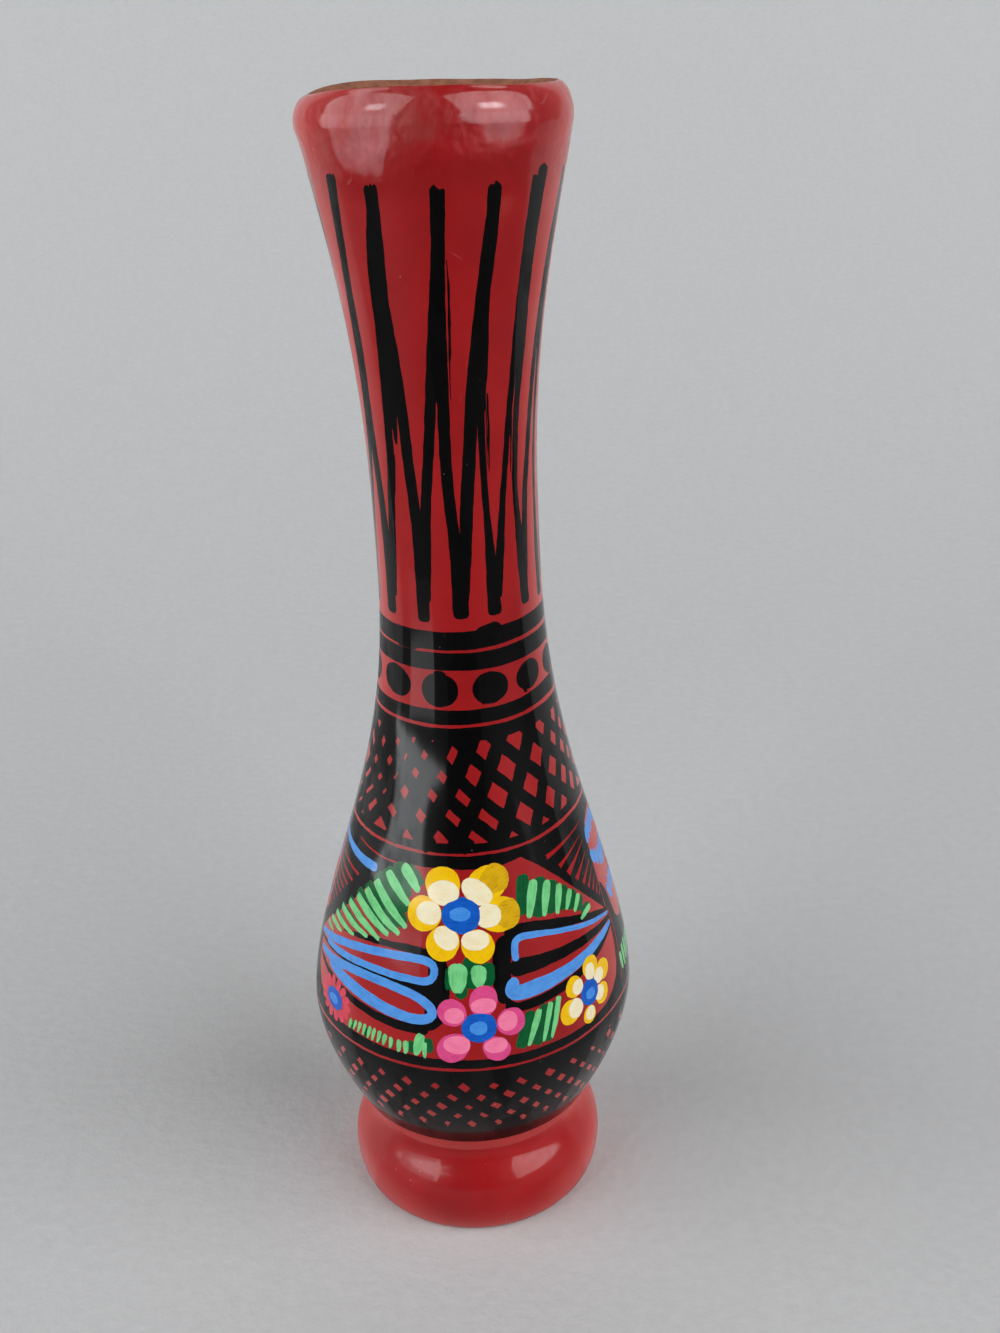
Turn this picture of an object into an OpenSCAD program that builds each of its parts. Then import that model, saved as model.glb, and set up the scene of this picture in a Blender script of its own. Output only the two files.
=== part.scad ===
// Clay vase: a foot, a bowl, a shoulder, a slender neck and a rolled lip, each thrown
// as its own section and luted to the next with a thin layer of slip on a sloping seat.
// Millimetres, +Z up along the vase's axis, origin at the middle of the standing ring.

/* [Overall] */
// Height from the standing ring to the crest of the lip
total_h = 200; // [196:1:230]

/* [Foot] */
// Outer radius of the flat standing ring
foot_base_r = 21.7; // [19:0.1:23]
// Radius of the foot where its roll swells widest
foot_r = 24; // [23:0.1:28]
// Height of the foot's widest line
foot_z = 6.2; // [3:0.1:9]
// Radius of the hollow under the foot
recess_r = 14; // [6:0.5:17]
// Depth of the hollow under the foot
recess_h = 3; // [1:0.1:5]

/* [Bowl] */
// Radius of the crease between the foot and the bowl
waist_r = 20.6; // [18:0.1:22.5]
// Height of the crease between the foot and the bowl
waist_z = 17; // [14:0.5:20]
// Depth of the dished seat on which the bowl sits
dish_h = 4; // [2:0.1:6]
// Thickness of the bowl's floor at its middle
floor_t = 6; // [4:0.1:9]
// Radius of the belly at its widest
belly_r = 29.7; // [27:0.1:34]
// Height of the belly's widest line, where the bowl meets the shoulder
belly_z = 42; // [36:0.5:52]
// Wall thickness at the belly
belly_wall = 5; // [3.5:0.1:7]

/* [Neck] */
// Radius of the neck at its narrowest
neck_r = 13.7; // [12:0.1:16]
// Height of the neck's narrowest line
neck_z = 134; // [122:1:145]
// Height of the joint between the shoulder and the neck
neck_joint_z = 114; // [100:1:120]
// Wall thickness from the neck up
neck_wall = 4; // [3:0.1:5]

/* [Lip] */
// Radius of the lip at its widest
lip_r = 20.8; // [19:0.1:25]
// Thickness of the rolled lip
lip_t = 5.2; // [4.2:0.1:7]
// Height of the lip's round crest above its widest line
lip_crest_h = 5; // [3:0.1:7]
// Distance from the lip's widest line down to the joint with the neck
lip_drop = 9; // [6:0.5:14]

/* [Luting] */
// Thickness of the slip between two sections
slip_t = 0.4; // [0.2:0.05:1]
// Fall of each sloping seat from the outer wall to the inner wall
seat_fall = 2; // [1:0.1:4]

/* [Curves] */
// How far the foot's roll stays full above its widest line
foot_full = 2.2; // [1.5:0.05:3]
// How softly the foot runs into the crease
foot_soft = 1.6; // [1.2:0.05:2.5]
// How quickly the bowl swells from the crease to the belly
bowl_full = 1.74; // [1.4:0.02:2.4]
// How softly the bowl leaves the crease
bowl_soft = 1.08; // [1:0.02:1.5]
// How far the shoulder stays full above the belly
shoulder_full = 1.65; // [1.3:0.05:2.2]
// How early the shoulder runs into the neck
shoulder_soft = 3.2; // [2:0.1:4]
// How late the neck starts to flare
flare_late = 2.25; // [1.6:0.05:3]
// How softly the flare turns upright at the lip
flare_soft = 1.25; // [1.05:0.05:1.8]

/* [Hidden] */
$fn = 96;
// Largest step between two points of a wall, and the points on a rounded stretch
wall_step = 2.5;
round_steps = 10;

lip_z = total_h - lip_crest_h;
lip_joint_z = lip_z - lip_drop;
lip_mid_r = lip_r - lip_t / 2;
// Inside floor of the bowl at the axis
floor_z = waist_z - dish_h + slip_t + floor_t;

// Place of z between two heights, held to 0 and 1
function share(z, low, high) = min(1, max(0, (z - low) / (high - low)));
// Evenly spaced heights from one to another, both ends included
function heights(from, to) =
    let (n = max(2, ceil(abs(to - from) / wall_step)))
    [for (i = [0 : n]) from + (to - from) * i / n];

// Radius of the outer wall: swelling bowl, falling shoulder, then the flare up to the lip
function outer_r(z) =
    z < belly_z
        ? waist_r + (belly_r - waist_r) * pow(1 - pow(1 - share(z, waist_z, belly_z), bowl_full), bowl_soft)
    : z < neck_z
        ? neck_r + (belly_r - neck_r) * pow(1 - pow(share(z, belly_z, neck_z), shoulder_full), shoulder_soft)
    : lip_r - (lip_r - neck_r) * pow(1 - pow(share(z, neck_z, lip_z), flare_late), flare_soft);

// Radius of the inner wall: a round-bottomed bowl, then the outer wall less its thickness
function wall_at(z) = belly_wall + (neck_wall - belly_wall) * share(z, belly_z, neck_z);
function inner_r(z) =
    z < belly_z
        ? (belly_r - belly_wall) * sqrt(1 - pow(1 - share(z, floor_z, belly_z), 2))
    : outer_r(z) - wall_at(z);

// Height of the dished seat at radius r
function dish_z(r) = waist_z - dish_h * (1 - pow(r / waist_r, 2));
// Points of the dished seat from the axis to the crease, raised by lift
function dish(lift) =
    [for (i = [0 : round_steps]) let (r = waist_r * i / round_steps) [r, dish_z(r) + lift]];

// Points of the outer wall and of the inner wall between two heights
function outer_wall(from, to) = [for (z = heights(from, to)) [outer_r(z), z]];
function inner_wall(from, to) = [for (z = heights(from, to)) [inner_r(z), z]];

module turned(points) {
    rotate_extrude() polygon(points);
}

// Ring of wall between two joints, with a sloping seat at each end
module wall_ring(bottom, top) {
    turned(concat(
        outer_wall(bottom, top),
        inner_wall(top - seat_fall, bottom - seat_fall)
    ));
}

// Layer of slip that fills the sloping seat above the height of a joint
module slip_ring(joint_z) {
    turned([
        [outer_r(joint_z), joint_z],
        [outer_r(joint_z + slip_t), joint_z + slip_t],
        [inner_r(joint_z + slip_t - seat_fall), joint_z + slip_t - seat_fall],
        [inner_r(joint_z - seat_fall), joint_z - seat_fall]
    ]);
}

// Foot: rolled ring with a dished seat on top and a domed hollow under it
module foot() {
    color("firebrick") turned(concat(
        dish(0),
        [for (z = heights(waist_z, foot_z))
            if (z < waist_z)
            [waist_r + (foot_r - waist_r) * pow(1 - pow(share(z, foot_z, waist_z), foot_full), foot_soft), z]],
        [for (i = [1 : round_steps])
            let (a = 90 * i / round_steps)
            [foot_base_r + (foot_r - foot_base_r) * cos(a), foot_z * (1 - sin(a))]],
        [for (i = [round_steps : -1 : 0])
            let (r = recess_r * i / round_steps)
            [r, recess_h * (1 - pow(r / recess_r, 2))]]
    ));
}

// Slip between the foot's dished seat and the bowl
module foot_slip() {
    color("sienna") turned(concat(
        dish(0),
        [for (i = [round_steps : -1 : 0]) dish(slip_t)[i]]
    ));
}

// Bowl: closed floor and swelling wall up to the belly
module bowl() {
    base_z = waist_z + slip_t;
    inner_top_z = belly_z - seat_fall;
    color("maroon") turned(concat(
        dish(slip_t),
        [for (z = heights(base_z, belly_z)) if (z > base_z) [outer_r(z), z]],
        inner_wall(inner_top_z, floor_z)
    ));
}

module belly_slip() {
    color("sienna") slip_ring(belly_z);
}

// Shoulder: from the belly in to the foot of the neck
module shoulder() {
    color("black") wall_ring(belly_z + slip_t, neck_joint_z);
}

module neck_slip() {
    color("sienna") slip_ring(neck_joint_z);
}

// Neck: the slender throat and the start of the flare
module neck() {
    color("firebrick") wall_ring(neck_joint_z + slip_t, lip_joint_z);
}

module lip_slip() {
    color("sienna") slip_ring(lip_joint_z);
}

// Lip: a coil rolled over to a round crest
module lip() {
    base_z = lip_joint_z + slip_t;
    color("firebrick") turned(concat(
        outer_wall(base_z, lip_z),
        [for (i = [1 : 2 * round_steps])
            let (a = 90 * i / round_steps)
            [lip_mid_r + lip_t / 2 * cos(a), lip_z + lip_crest_h * sin(a)]],
        [[inner_r(base_z - seat_fall), base_z - seat_fall]]
    ));
}

foot();
foot_slip();
bowl();
belly_slip();
shoulder();
neck_slip();
neck();
lip_slip();
lip();
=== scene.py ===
import bpy
import numpy as np
from mathutils import Matrix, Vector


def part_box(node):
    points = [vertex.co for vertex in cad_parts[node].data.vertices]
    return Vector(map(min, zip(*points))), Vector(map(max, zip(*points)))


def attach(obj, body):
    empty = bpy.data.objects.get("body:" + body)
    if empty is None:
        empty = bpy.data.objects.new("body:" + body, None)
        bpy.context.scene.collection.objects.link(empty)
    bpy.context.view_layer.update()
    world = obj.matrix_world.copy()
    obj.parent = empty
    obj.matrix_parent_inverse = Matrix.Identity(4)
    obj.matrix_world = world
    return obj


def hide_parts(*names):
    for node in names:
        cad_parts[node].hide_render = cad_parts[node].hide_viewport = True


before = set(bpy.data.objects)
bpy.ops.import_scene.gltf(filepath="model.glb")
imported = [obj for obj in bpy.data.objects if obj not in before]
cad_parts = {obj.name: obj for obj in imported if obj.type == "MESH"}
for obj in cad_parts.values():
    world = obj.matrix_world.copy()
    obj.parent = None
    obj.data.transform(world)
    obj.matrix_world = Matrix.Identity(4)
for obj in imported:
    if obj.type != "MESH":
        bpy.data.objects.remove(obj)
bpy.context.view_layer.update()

# Foot
# The rolled ring that the vase stands on, thrown by itself and luted under the bowl.
# Fired red clay, dipped in red lacquer outside and left bare underneath.
MM = 0.001
TURN_STEPS = 288
SHARP_DEGREES = 38.0
TWO_LOBES = 0.10
THREE_LOBES = 0.06
# Thumb-pressed flats of the lip: depth in mm, angle, reach in degrees, height and run of their start
LIP_FLATS = ((1.0, -33.0, 30.0, 187.0, 9.0), (0.75, 27.0, 28.0, 189.5, 6.5))
# Drop of the uneven rim in mm at angles round it
RIM_ANGLES = (-180, -135, -110, -90, -70, -55, -40, -20, 0, 20, 40, 60, 90, 135, 180)
RIM_DROPS = (0.65, 0.25, 0.9, 1.4, 1.0, 0.55, 0.25, 0.05, 0.05, 0.3, 0.65, 0.7, 0.6, 1.0, 0.65)

# Sizes in mm
foot_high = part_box("foot")[1] / MM
foot_r = foot_high.x
waist_z = foot_high.z
waist_r = 20.6
foot_z = 6.2
foot_base_r = 21.7
foot_full = 2.5
foot_soft = 2.3
edge_row = 0.6
recess_r = 14.0
recess_h = 3.0
dish_h = 4.0


def smooth_step(t):
    """Cubic ease from 0 to 1: 3 t squared less 2 t cubed, held flat outside that span."""
    t = np.clip(t, 0.0, 1.0)
    return t * t * (3.0 - 2.0 * t)


def lean(z):
    """Sideways drift of the thrown axis in mm: it moves right up to the neck, then comes back a little."""
    return -1.0 + 2.3 * smooth_step(z / 110.0) - 0.3 * smooth_step((z - 105.0) / 50.0)


def near(phi, middle, reach):
    """A smooth bump round the vase: 1 at the middle angle, falling off as a bell curve of that reach."""
    away = (np.degrees(phi) - middle + 180.0) % 360.0 - 180.0
    return np.exp(-(away / reach) ** 2)


def hand_wobble(phi, z):
    """Slow unevenness of a hand-turned wall in mm: two and three lobes that twist as they climb.
    At the lip the thumb-pressed flats go in, and the roll bulges on the left."""
    two_lobes = TWO_LOBES * np.sin(2.0 * phi + 1.0 + z / 70.0)
    three_lobes = THREE_LOBES * np.sin(3.0 * phi + 2.0 - z / 45.0)
    flats = sum(depth * near(phi, middle, reach) * smooth_step((z - low) / run)
                for depth, middle, reach, low, run in LIP_FLATS)
    bulge = 0.5 * near(phi, -95.0, 38.0) * np.exp(-((z - 197.5) / 3.0) ** 2)
    return two_lobes + three_lobes - flats + bulge


def rim_dip(phi, z):
    """Drop in mm of the uneven rim: nothing below the lip, then the listed drops, eased between their
    angles as the mean of five readings a few degrees apart."""
    readings = [np.interp((np.degrees(phi) + turn + 180.0) % 360.0 - 180.0, RIM_ANGLES, RIM_DROPS)
                for turn in (-8, -4, 0, 4, 8)]
    drop = sum(readings) / len(readings)
    return (drop + 0.03 * np.sin(11.0 * phi + 2.0)) * smooth_step((z - 189.0) / 8.0)


def new_object(name, points, faces, material):
    """A smooth object at the origin from points in metres and faces of point numbers, in one material."""
    mesh = bpy.data.meshes.new(name)
    mesh.from_pydata(points.tolist(), [], faces)
    mesh.polygons.foreach_set("use_smooth", np.ones(len(mesh.polygons), bool))
    mesh.materials.append(material)
    made = bpy.data.objects.new(name, mesh)
    bpy.context.scene.collection.objects.link(made)
    return made


def turned(name, cad_node, slot, material, r, z, coat, closed):
    """One clay section: the profile (r, z) in mm swept round the leaning axis, ring by ring, as quads.
    A closed profile joins its last ring to its first. An open one starts and ends on the axis, in fans.
    coat is 1 where the wall is lacquered and 0 where the clay is bare, and it also scales the wobble."""
    phi = np.linspace(0.0, 2.0 * np.pi, TURN_STEPS, endpoint=False)
    if not closed:
        poles = np.array([[lean(z[0]), 0.0, z[0]], [lean(z[-1]), 0.0, z[-1]]])
        pole_coat = coat[[0, -1]]
        r, z, coat = r[1:-1], z[1:-1], coat[1:-1]
    ring_r = r[:, None] + coat[:, None] * hand_wobble(phi, z[:, None])
    x = lean(z)[:, None] + ring_r * np.sin(phi)
    y = -ring_r * np.cos(phi)
    rings = np.stack([x, y, z[:, None] - rim_dip(phi, z[:, None])], -1).reshape(-1, 3)
    masks = np.repeat(coat, TURN_STEPS)
    count = len(r)
    i = np.arange(count if closed else count - 1)[:, None] * TURN_STEPS
    above = (i + TURN_STEPS) % (count * TURN_STEPS)
    j = np.arange(TURN_STEPS)[None]
    right = (j + 1) % TURN_STEPS
    faces = np.stack([i + j, i + right, above + right, above + j], -1).reshape(-1, 4).tolist()
    if not closed:
        first, last = len(rings), len(rings) + 1
        top = (count - 1) * TURN_STEPS
        side, beside = j[0], right[0]
        faces += np.stack([np.full(TURN_STEPS, first), beside, side], -1).tolist()
        faces += np.stack([np.full(TURN_STEPS, last), top + side, top + beside], -1).tolist()
        rings = np.concatenate([rings, poles])
        masks = np.concatenate([masks, pole_coat])
    piece = new_object(name, rings * MM, faces, material)
    piece.data.set_sharp_from_angle(angle=np.radians(SHARP_DEGREES))
    piece.data.attributes.new("coat", "FLOAT", "POINT").data.foreach_set("value", masks.astype(np.float32))
    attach(piece, "root")
    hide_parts(cad_node)


def srgb(red, green, blue):
    """A colour written as it shows on screen, 0 to 255, as the linear values that shaders take."""
    c = np.array([red, green, blue]) / 255.0
    linear = np.where(c <= 0.04045, c / 12.92, ((c + 0.055) / 1.055) ** 2.4)
    return (*linear.tolist(), 1.0)


def new_group(name, inputs, outputs):
    """An empty shader node group with the named value inputs and outputs; returns tree, input and output."""
    tree = bpy.data.node_groups.new(name, "ShaderNodeTree")
    for socket, default in inputs:
        made = tree.interface.new_socket(socket, in_out="INPUT", socket_type="NodeSocketFloat")
        made.default_value = default
    for socket in outputs:
        tree.interface.new_socket(socket, in_out="OUTPUT", socket_type="NodeSocketFloat")
    return tree, tree.nodes.new("NodeGroupInput"), tree.nodes.new("NodeGroupOutput")


def node(tree, kind, values=None, links=None, **settings):
    """A shader node with its settings, its socket values and its links from other nodes' sockets."""
    made = tree.nodes.new(kind)
    for key, value in settings.items():
        setattr(made, key, value)
    for key, value in (values or {}).items():
        made.inputs[key].default_value = value
    for key, socket in (links or {}).items():
        tree.links.new(socket, made.inputs[key])
    return made


def math(tree, operation, a, b=0.0, clamp=False):
    """A maths node on two numbers or sockets; returns its output socket."""
    made = tree.nodes.new("ShaderNodeMath")
    made.operation = operation
    made.use_clamp = clamp
    for slot_index, value in enumerate((a, b)):
        if isinstance(value, (int, float)):
            made.inputs[slot_index].default_value = value
        else:
            tree.links.new(value, made.inputs[slot_index])
    return made.outputs[0]


def ramp(tree, value, low, high):
    """A smooth 0 to 1 rise of a socket between two levels; returns its output socket."""
    return node(tree, "ShaderNodeMapRange", {"From Min": low, "From Max": high}, {"Value": value},
                interpolation_type="SMOOTHSTEP").outputs["Result"]


def noise(tree, place, scale, detail, roughness=0.5, distortion=0.0):
    """Cloudy noise at the points of a vector socket; returns its output socket."""
    values = {"Scale": scale, "Detail": detail, "Roughness": roughness, "Distortion": distortion}
    return node(tree, "ShaderNodeTexNoise", values, {"Vector": place}).outputs["Fac"]


def colour_mix(tree, factor, a, b):
    """Blend of two colours or colour sockets by a factor socket; returns its output socket."""
    made = tree.nodes.new("ShaderNodeMix")
    made.data_type = "RGBA"
    tree.links.new(factor, made.inputs["Factor"])
    for key, value in (("A", a), ("B", b)):
        socket = [s for s in made.inputs if s.name == key and s.type == "RGBA"][0]
        if isinstance(value, tuple):
            socket.default_value = value
        else:
            tree.links.new(value, socket)
    return [s for s in made.outputs if s.type == "RGBA"][0]


def new_material(name, values):
    """A material whose main shader has the given values; returns it, its tree and the shader's inputs."""
    made = bpy.data.materials.new(name)
    made.use_nodes = True
    tree = made.node_tree
    inputs = tree.nodes["Principled BSDF"].inputs
    for socket, value in values.items():
        inputs[socket].default_value = value
    return made, tree, inputs


def relief(tree, inputs, height, strength=0.45, distance=0.0002):
    """Fine relief: a height socket turned into the shader's normal."""
    bump = node(tree, "ShaderNodeBump", {"Strength": strength, "Distance": distance}, {"Height": height})
    tree.links.new(bump.outputs[0], inputs["Normal"])


# Years of handling on the lacquer: clouded colour, dust specks, dulled patches and a faint ripple
wear, wear_in, wear_out = new_group(
    "lacquer_wear", [("Ripple", 1.0)], ["Cloud", "Speck", "Scratch", "Dull", "Smudge", "Height"])
place = node(wear, "ShaderNodeTexCoord").outputs["Object"]
tall = node(wear, "ShaderNodeMapping", {"Scale": (1.0, 1.0, 0.35)}, {"Vector": place}).outputs[0]
dragged = node(wear, "ShaderNodeMapping", {"Scale": (1.0, 1.0, 0.3)}, {"Vector": place}).outputs[0]
cloud = noise(wear, place, 38.0, 4.0, 0.6)
sparse = noise(wear, place, 90.0, 1.0)
curl = noise(wear, place, 75.0, 0.0, 0.5, 0.6)
rare = noise(wear, place, 160.0, 1.0)
smear = noise(wear, tall, 110.0, 5.0, 0.65)
peel = noise(wear, place, 260.0, 2.0)
fingers = noise(wear, dragged, 420.0, 3.0, 0.7)
grit = node(wear, "ShaderNodeTexVoronoi", {"Scale": 420.0, "Randomness": 1.0}, {"Vector": place})
dot = math(wear, "SUBTRACT", 1.0, ramp(wear, grit.outputs["Distance"], 0.03, 0.09))
speck = math(wear, "MULTIPLY", dot, ramp(wear, sparse, 0.56, 0.66))
off_line = math(wear, "ABSOLUTE", math(wear, "SUBTRACT", curl, 0.5))
hairline = math(wear, "SUBTRACT", 1.0, ramp(wear, off_line, 0.0, 0.006))
swell = math(wear, "ADD", math(wear, "MULTIPLY", cloud, 3.0), peel)
fine = math(wear, "ADD", math(wear, "MULTIPLY", smear, 0.5), math(wear, "MULTIPLY", speck, 0.15))
wear_marks = {
    "Cloud": cloud,
    "Speck": speck,
    "Scratch": math(wear, "MULTIPLY", hairline, ramp(wear, rare, 0.64, 0.72)),
    "Dull": ramp(wear, smear, 0.45, 0.64),
    "Smudge": math(wear, "MULTIPLY", ramp(wear, sparse, 0.5, 0.58), ramp(wear, fingers, 0.3, 0.62)),
    "Height": math(wear, "MULTIPLY", math(wear, "ADD", swell, fine), wear_in.outputs["Ripple"]),
}
for socket, value in wear_marks.items():
    wear.links.new(value, wear_out.inputs[socket])

RED = srgb(168, 24, 26)
RED_DEEP = srgb(146, 18, 22)
CLAY = srgb(156, 104, 80)
CLAY_DARK = srgb(124, 78, 58)
DUST = srgb(205, 190, 175)
# Pale pink of the painted sheen at the red's glancing edges
SHEEN_PINK = srgb(235, 110, 105)
COAT_IOR = 1.38


def lacquered_clay():
    """Red lacquer where the coat attribute is 1, bare fired clay where it is 0, with a chipped line between.
    The lip is rippled and smudged more than the wall, and at a glancing view the red turns paler pink, a
    painted sheen."""
    made, tree, inputs = new_material(
        "lacquered_clay", {"Specular IOR Level": 0.08, "Coat Roughness": 0.09, "Coat IOR": COAT_IOR})
    aged = node(tree, "ShaderNodeGroup", node_tree=wear)
    coords = node(tree, "ShaderNodeTexCoord").outputs["Object"]
    high = node(tree, "ShaderNodeSeparateXYZ", links={0: coords}).outputs["Z"]
    handled = math(tree, "MULTIPLY", aged.outputs["Smudge"], ramp(tree, high, 0.176, 0.19))
    rolled = math(tree, "MULTIPLY", ramp(tree, high, 0.184, 0.192), 6.0)
    tree.links.new(math(tree, "ADD", rolled, 1.2), aged.inputs["Ripple"])
    coat = node(tree, "ShaderNodeAttribute", attribute_name="coat").outputs["Fac"]
    chips = math(tree, "SUBTRACT", noise(tree, coords, 330.0, 4.0, 0.6), 0.5)
    covered = ramp(tree, math(tree, "ADD", coat, math(tree, "MULTIPLY", chips, 0.7)), 0.46, 0.52)
    red = colour_mix(tree, ramp(tree, aged.outputs["Cloud"], 0.3, 0.7), RED_DEEP, RED)
    red = colour_mix(tree, math(tree, "MULTIPLY", handled, 0.05), red, DUST)
    marks = math(tree, "ADD", math(tree, "MULTIPLY", aged.outputs["Speck"], 0.3),
                 math(tree, "MULTIPLY", aged.outputs["Scratch"], 0.2), True)
    red = colour_mix(tree, marks, red, DUST)
    # Painted sheen: seen at a glancing angle the red is mixed towards pale pink, in place of gloss at the
    # sides
    sheen_glance = node(tree, "ShaderNodeLayerWeight", {"Blend": 0.5}).outputs["Facing"]
    red = colour_mix(tree, math(tree, "MULTIPLY", ramp(tree, sheen_glance, 0.25, 0.8), 0.4), red, SHEEN_PINK)
    grain = noise(tree, coords, 600.0, 6.0, 0.7)
    clay = colour_mix(tree, ramp(tree, grain, 0.35, 0.65), CLAY_DARK, CLAY)
    tree.links.new(colour_mix(tree, covered, clay, red), inputs["Base Color"])
    rough = math(tree, "SUBTRACT", 0.85, math(tree, "MULTIPLY", covered, 0.45))
    tree.links.new(rough, inputs["Roughness"])
    gloss = math(tree, "SUBTRACT", 0.9, math(tree, "MULTIPLY", aged.outputs["Dull"], 0.5))
    gloss = math(tree, "SUBTRACT", gloss, math(tree, "MULTIPLY", handled, 0.3), True)
    tree.links.new(math(tree, "MULTIPLY", covered, gloss), inputs["Coat Weight"])
    bare_grain = math(tree, "MULTIPLY", math(tree, "SUBTRACT", 1.0, covered), grain)
    step = math(tree, "ADD", bare_grain, math(tree, "MULTIPLY", covered, 0.35))
    relief(tree, inputs, math(tree, "ADD", aged.outputs["Height"], step))
    return made


lacquer = lacquered_clay()


def share(z, low, high):
    """Place of z between two heights, held to 0 and 1."""
    return np.clip((z - low) / (high - low), 0.0, 1.0)


def power_curve(z, low, high, full, soft):
    """Fall from 1 to 0 between two heights: (1 - t^full)^soft of the share t of the way."""
    return (1.0 - share(z, low, high) ** full) ** soft


def dish_z(r):
    """Height of the dished seat on top of the foot: a shallow paraboloid that reaches the crease."""
    return waist_z - dish_h * (1.0 - (r / waist_r) ** 2)


def stacked(*runs):
    """The runs of a profile end to end, as one array of radii, one of heights and one of coat marks."""
    return [np.concatenate([np.asarray(run[k], float) for run in runs]) for k in range(3)]


def bare(r, z):
    """A run of a profile with no lacquer on it."""
    return r, z, np.zeros(len(r))


def coated(r, z):
    """A run of a profile under lacquer."""
    return r, z, np.ones(len(r))


dome_r = np.linspace(0.0, recess_r, 16)
quarter = np.linspace(0.0, np.pi / 2.0, 20)[1:]
rise_z = np.linspace(foot_z, waist_z, 30)[1:]
seat_r = np.linspace(waist_r, 0.0, 14)[1:]
roll = power_curve(rise_z, foot_z, waist_z, foot_full, foot_soft)
turned("vase_foot", "foot", "red_lacquer", lacquer, *stacked(
    bare(dome_r, recess_h * (1.0 - (dome_r / recess_r) ** 2)),
    bare([foot_base_r - edge_row], [0.0]),
    coated(foot_base_r + (foot_r - foot_base_r) * np.sin(quarter), foot_z * (1.0 - np.cos(quarter))),
    coated(waist_r + (foot_r - waist_r) * roll, rise_z),
    bare(seat_r, dish_z(seat_r)),
), False)

# Bowl
# The closed lower half of the belly, thrown as a small round-bottomed bowl and set in the foot's dish.
# Fired red clay, lacquered outside, bare inside where the water stands.
bowl_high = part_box("bowl")[1] / MM
belly_r = bowl_high.x
belly_z = bowl_high.z
lip_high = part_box("lip")[1] / MM
lip_r = lip_high.x
lip_crest_h = 5.0
lip_z = lip_high.z - lip_crest_h
neck_r = 13.7
neck_z = 134.0
belly_wall = 5.0
neck_wall = 4.0
slip_t = 0.4
seat_fall = 2.0
floor_t = 6.0
floor_z = waist_z - dish_h + slip_t + floor_t
bowl_full = 1.74
bowl_soft = 1.08
shoulder_full = 1.65
shoulder_soft = 3.2
flare_late = 2.25
flare_soft = 1.25
ridge_h = 0.12
ridge_pitch = 4.6
outside_step = 0.7


def outer_r(z):
    """Outer wall radius in mm: the bowl swells, the shoulder falls to the neck, the neck flares to the lip.
    Each stretch is a power curve between its two radii."""
    z = np.asarray(z, float)
    bowl = waist_r + (belly_r - waist_r) * power_curve(z, belly_z, waist_z, bowl_full, bowl_soft)
    fall = neck_r + (belly_r - neck_r) * power_curve(z, belly_z, neck_z, shoulder_full, shoulder_soft)
    flare = lip_r - (lip_r - neck_r) * power_curve(z, neck_z, lip_z, flare_late, flare_soft)
    return np.where(z < belly_z, bowl, np.where(z < neck_z, fall, flare))


def inner_r(z):
    """Inner wall radius in mm: a quarter ellipse from the floor to the belly, then the outer wall less its
    thickness, with the shallow spiral ridges that the thrower's fingers leave."""
    z = np.asarray(z, float)
    bowl = (belly_r - belly_wall) * np.sqrt(1.0 - (1.0 - share(z, floor_z, belly_z)) ** 2)
    wall = outer_r(z) - belly_wall + (belly_wall - neck_wall) * share(z, belly_z, neck_z)
    ridges = ridge_h * np.sin(2.0 * np.pi * z / ridge_pitch) * smooth_step((z - floor_z) / 8.0)
    return np.where(z < belly_z, bowl, wall) + ridges


def close_ended(low, high, step):
    """Heights from low to high in even steps, with two finer rows at each end for clean shading there."""
    inner = np.linspace(low + 0.3, high - 0.3, max(3, int((high - low) / step)))
    return np.concatenate([[low, low + 0.1], inner, [high - 0.1, high]])


bowl_seat_r = np.linspace(0.0, waist_r, 14)[:-1]
bowl_z = close_ended(waist_z + slip_t, belly_z, outside_step)
bowl_inside_z = floor_z + (belly_z - seat_fall - floor_z) * np.linspace(1.0, 0.0, 40) ** 2
turned("vase_bowl", "bowl", "red_lacquer", lacquer, *stacked(
    bare(bowl_seat_r, dish_z(bowl_seat_r) + slip_t),
    coated(outer_r(bowl_z), bowl_z),
    bare(inner_r(bowl_inside_z), bowl_inside_z),
), False)

# Shoulder
# The upper wall of the belly, drawn in to the foot of the neck and luted to the bowl at the widest line.
# Fired red clay with a red lacquer ground under the painted bands and flowers.
shoulder_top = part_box("shoulder")[1].z / MM
neck_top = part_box("neck")[1].z / MM
inside_step = 0.6


def wall_ring(name, cad_node, low, high):
    """A ring of wall between two joints: lacquered outer wall, sloping seats, bare inner wall."""
    outside_z = close_ended(low, high, outside_step)
    inside_z = np.linspace(high - seat_fall, low - seat_fall, int((high - low) / inside_step))
    turned(name, cad_node, "red_lacquer", lacquer, *stacked(
        coated(outer_r(outside_z), outside_z),
        bare(inner_r(inside_z), inside_z),
    ), True)


wall_ring("vase_shoulder", "shoulder", belly_z + slip_t, shoulder_top)

# Neck
# The slender throat, pulled up thin from a tall cylinder and flared at its top.
# Fired red clay, lacquered red, its foot luted to the shoulder.
wall_ring("vase_neck", "neck", shoulder_top + slip_t, neck_top)

# Lip
# A coil rolled over the neck's rim to a round crest. The red lacquer stops along a worn, chipped line
# on the crest, and the bare clay shows there and down the inside.
lip_t = 5.2
lip_step = 0.5
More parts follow.
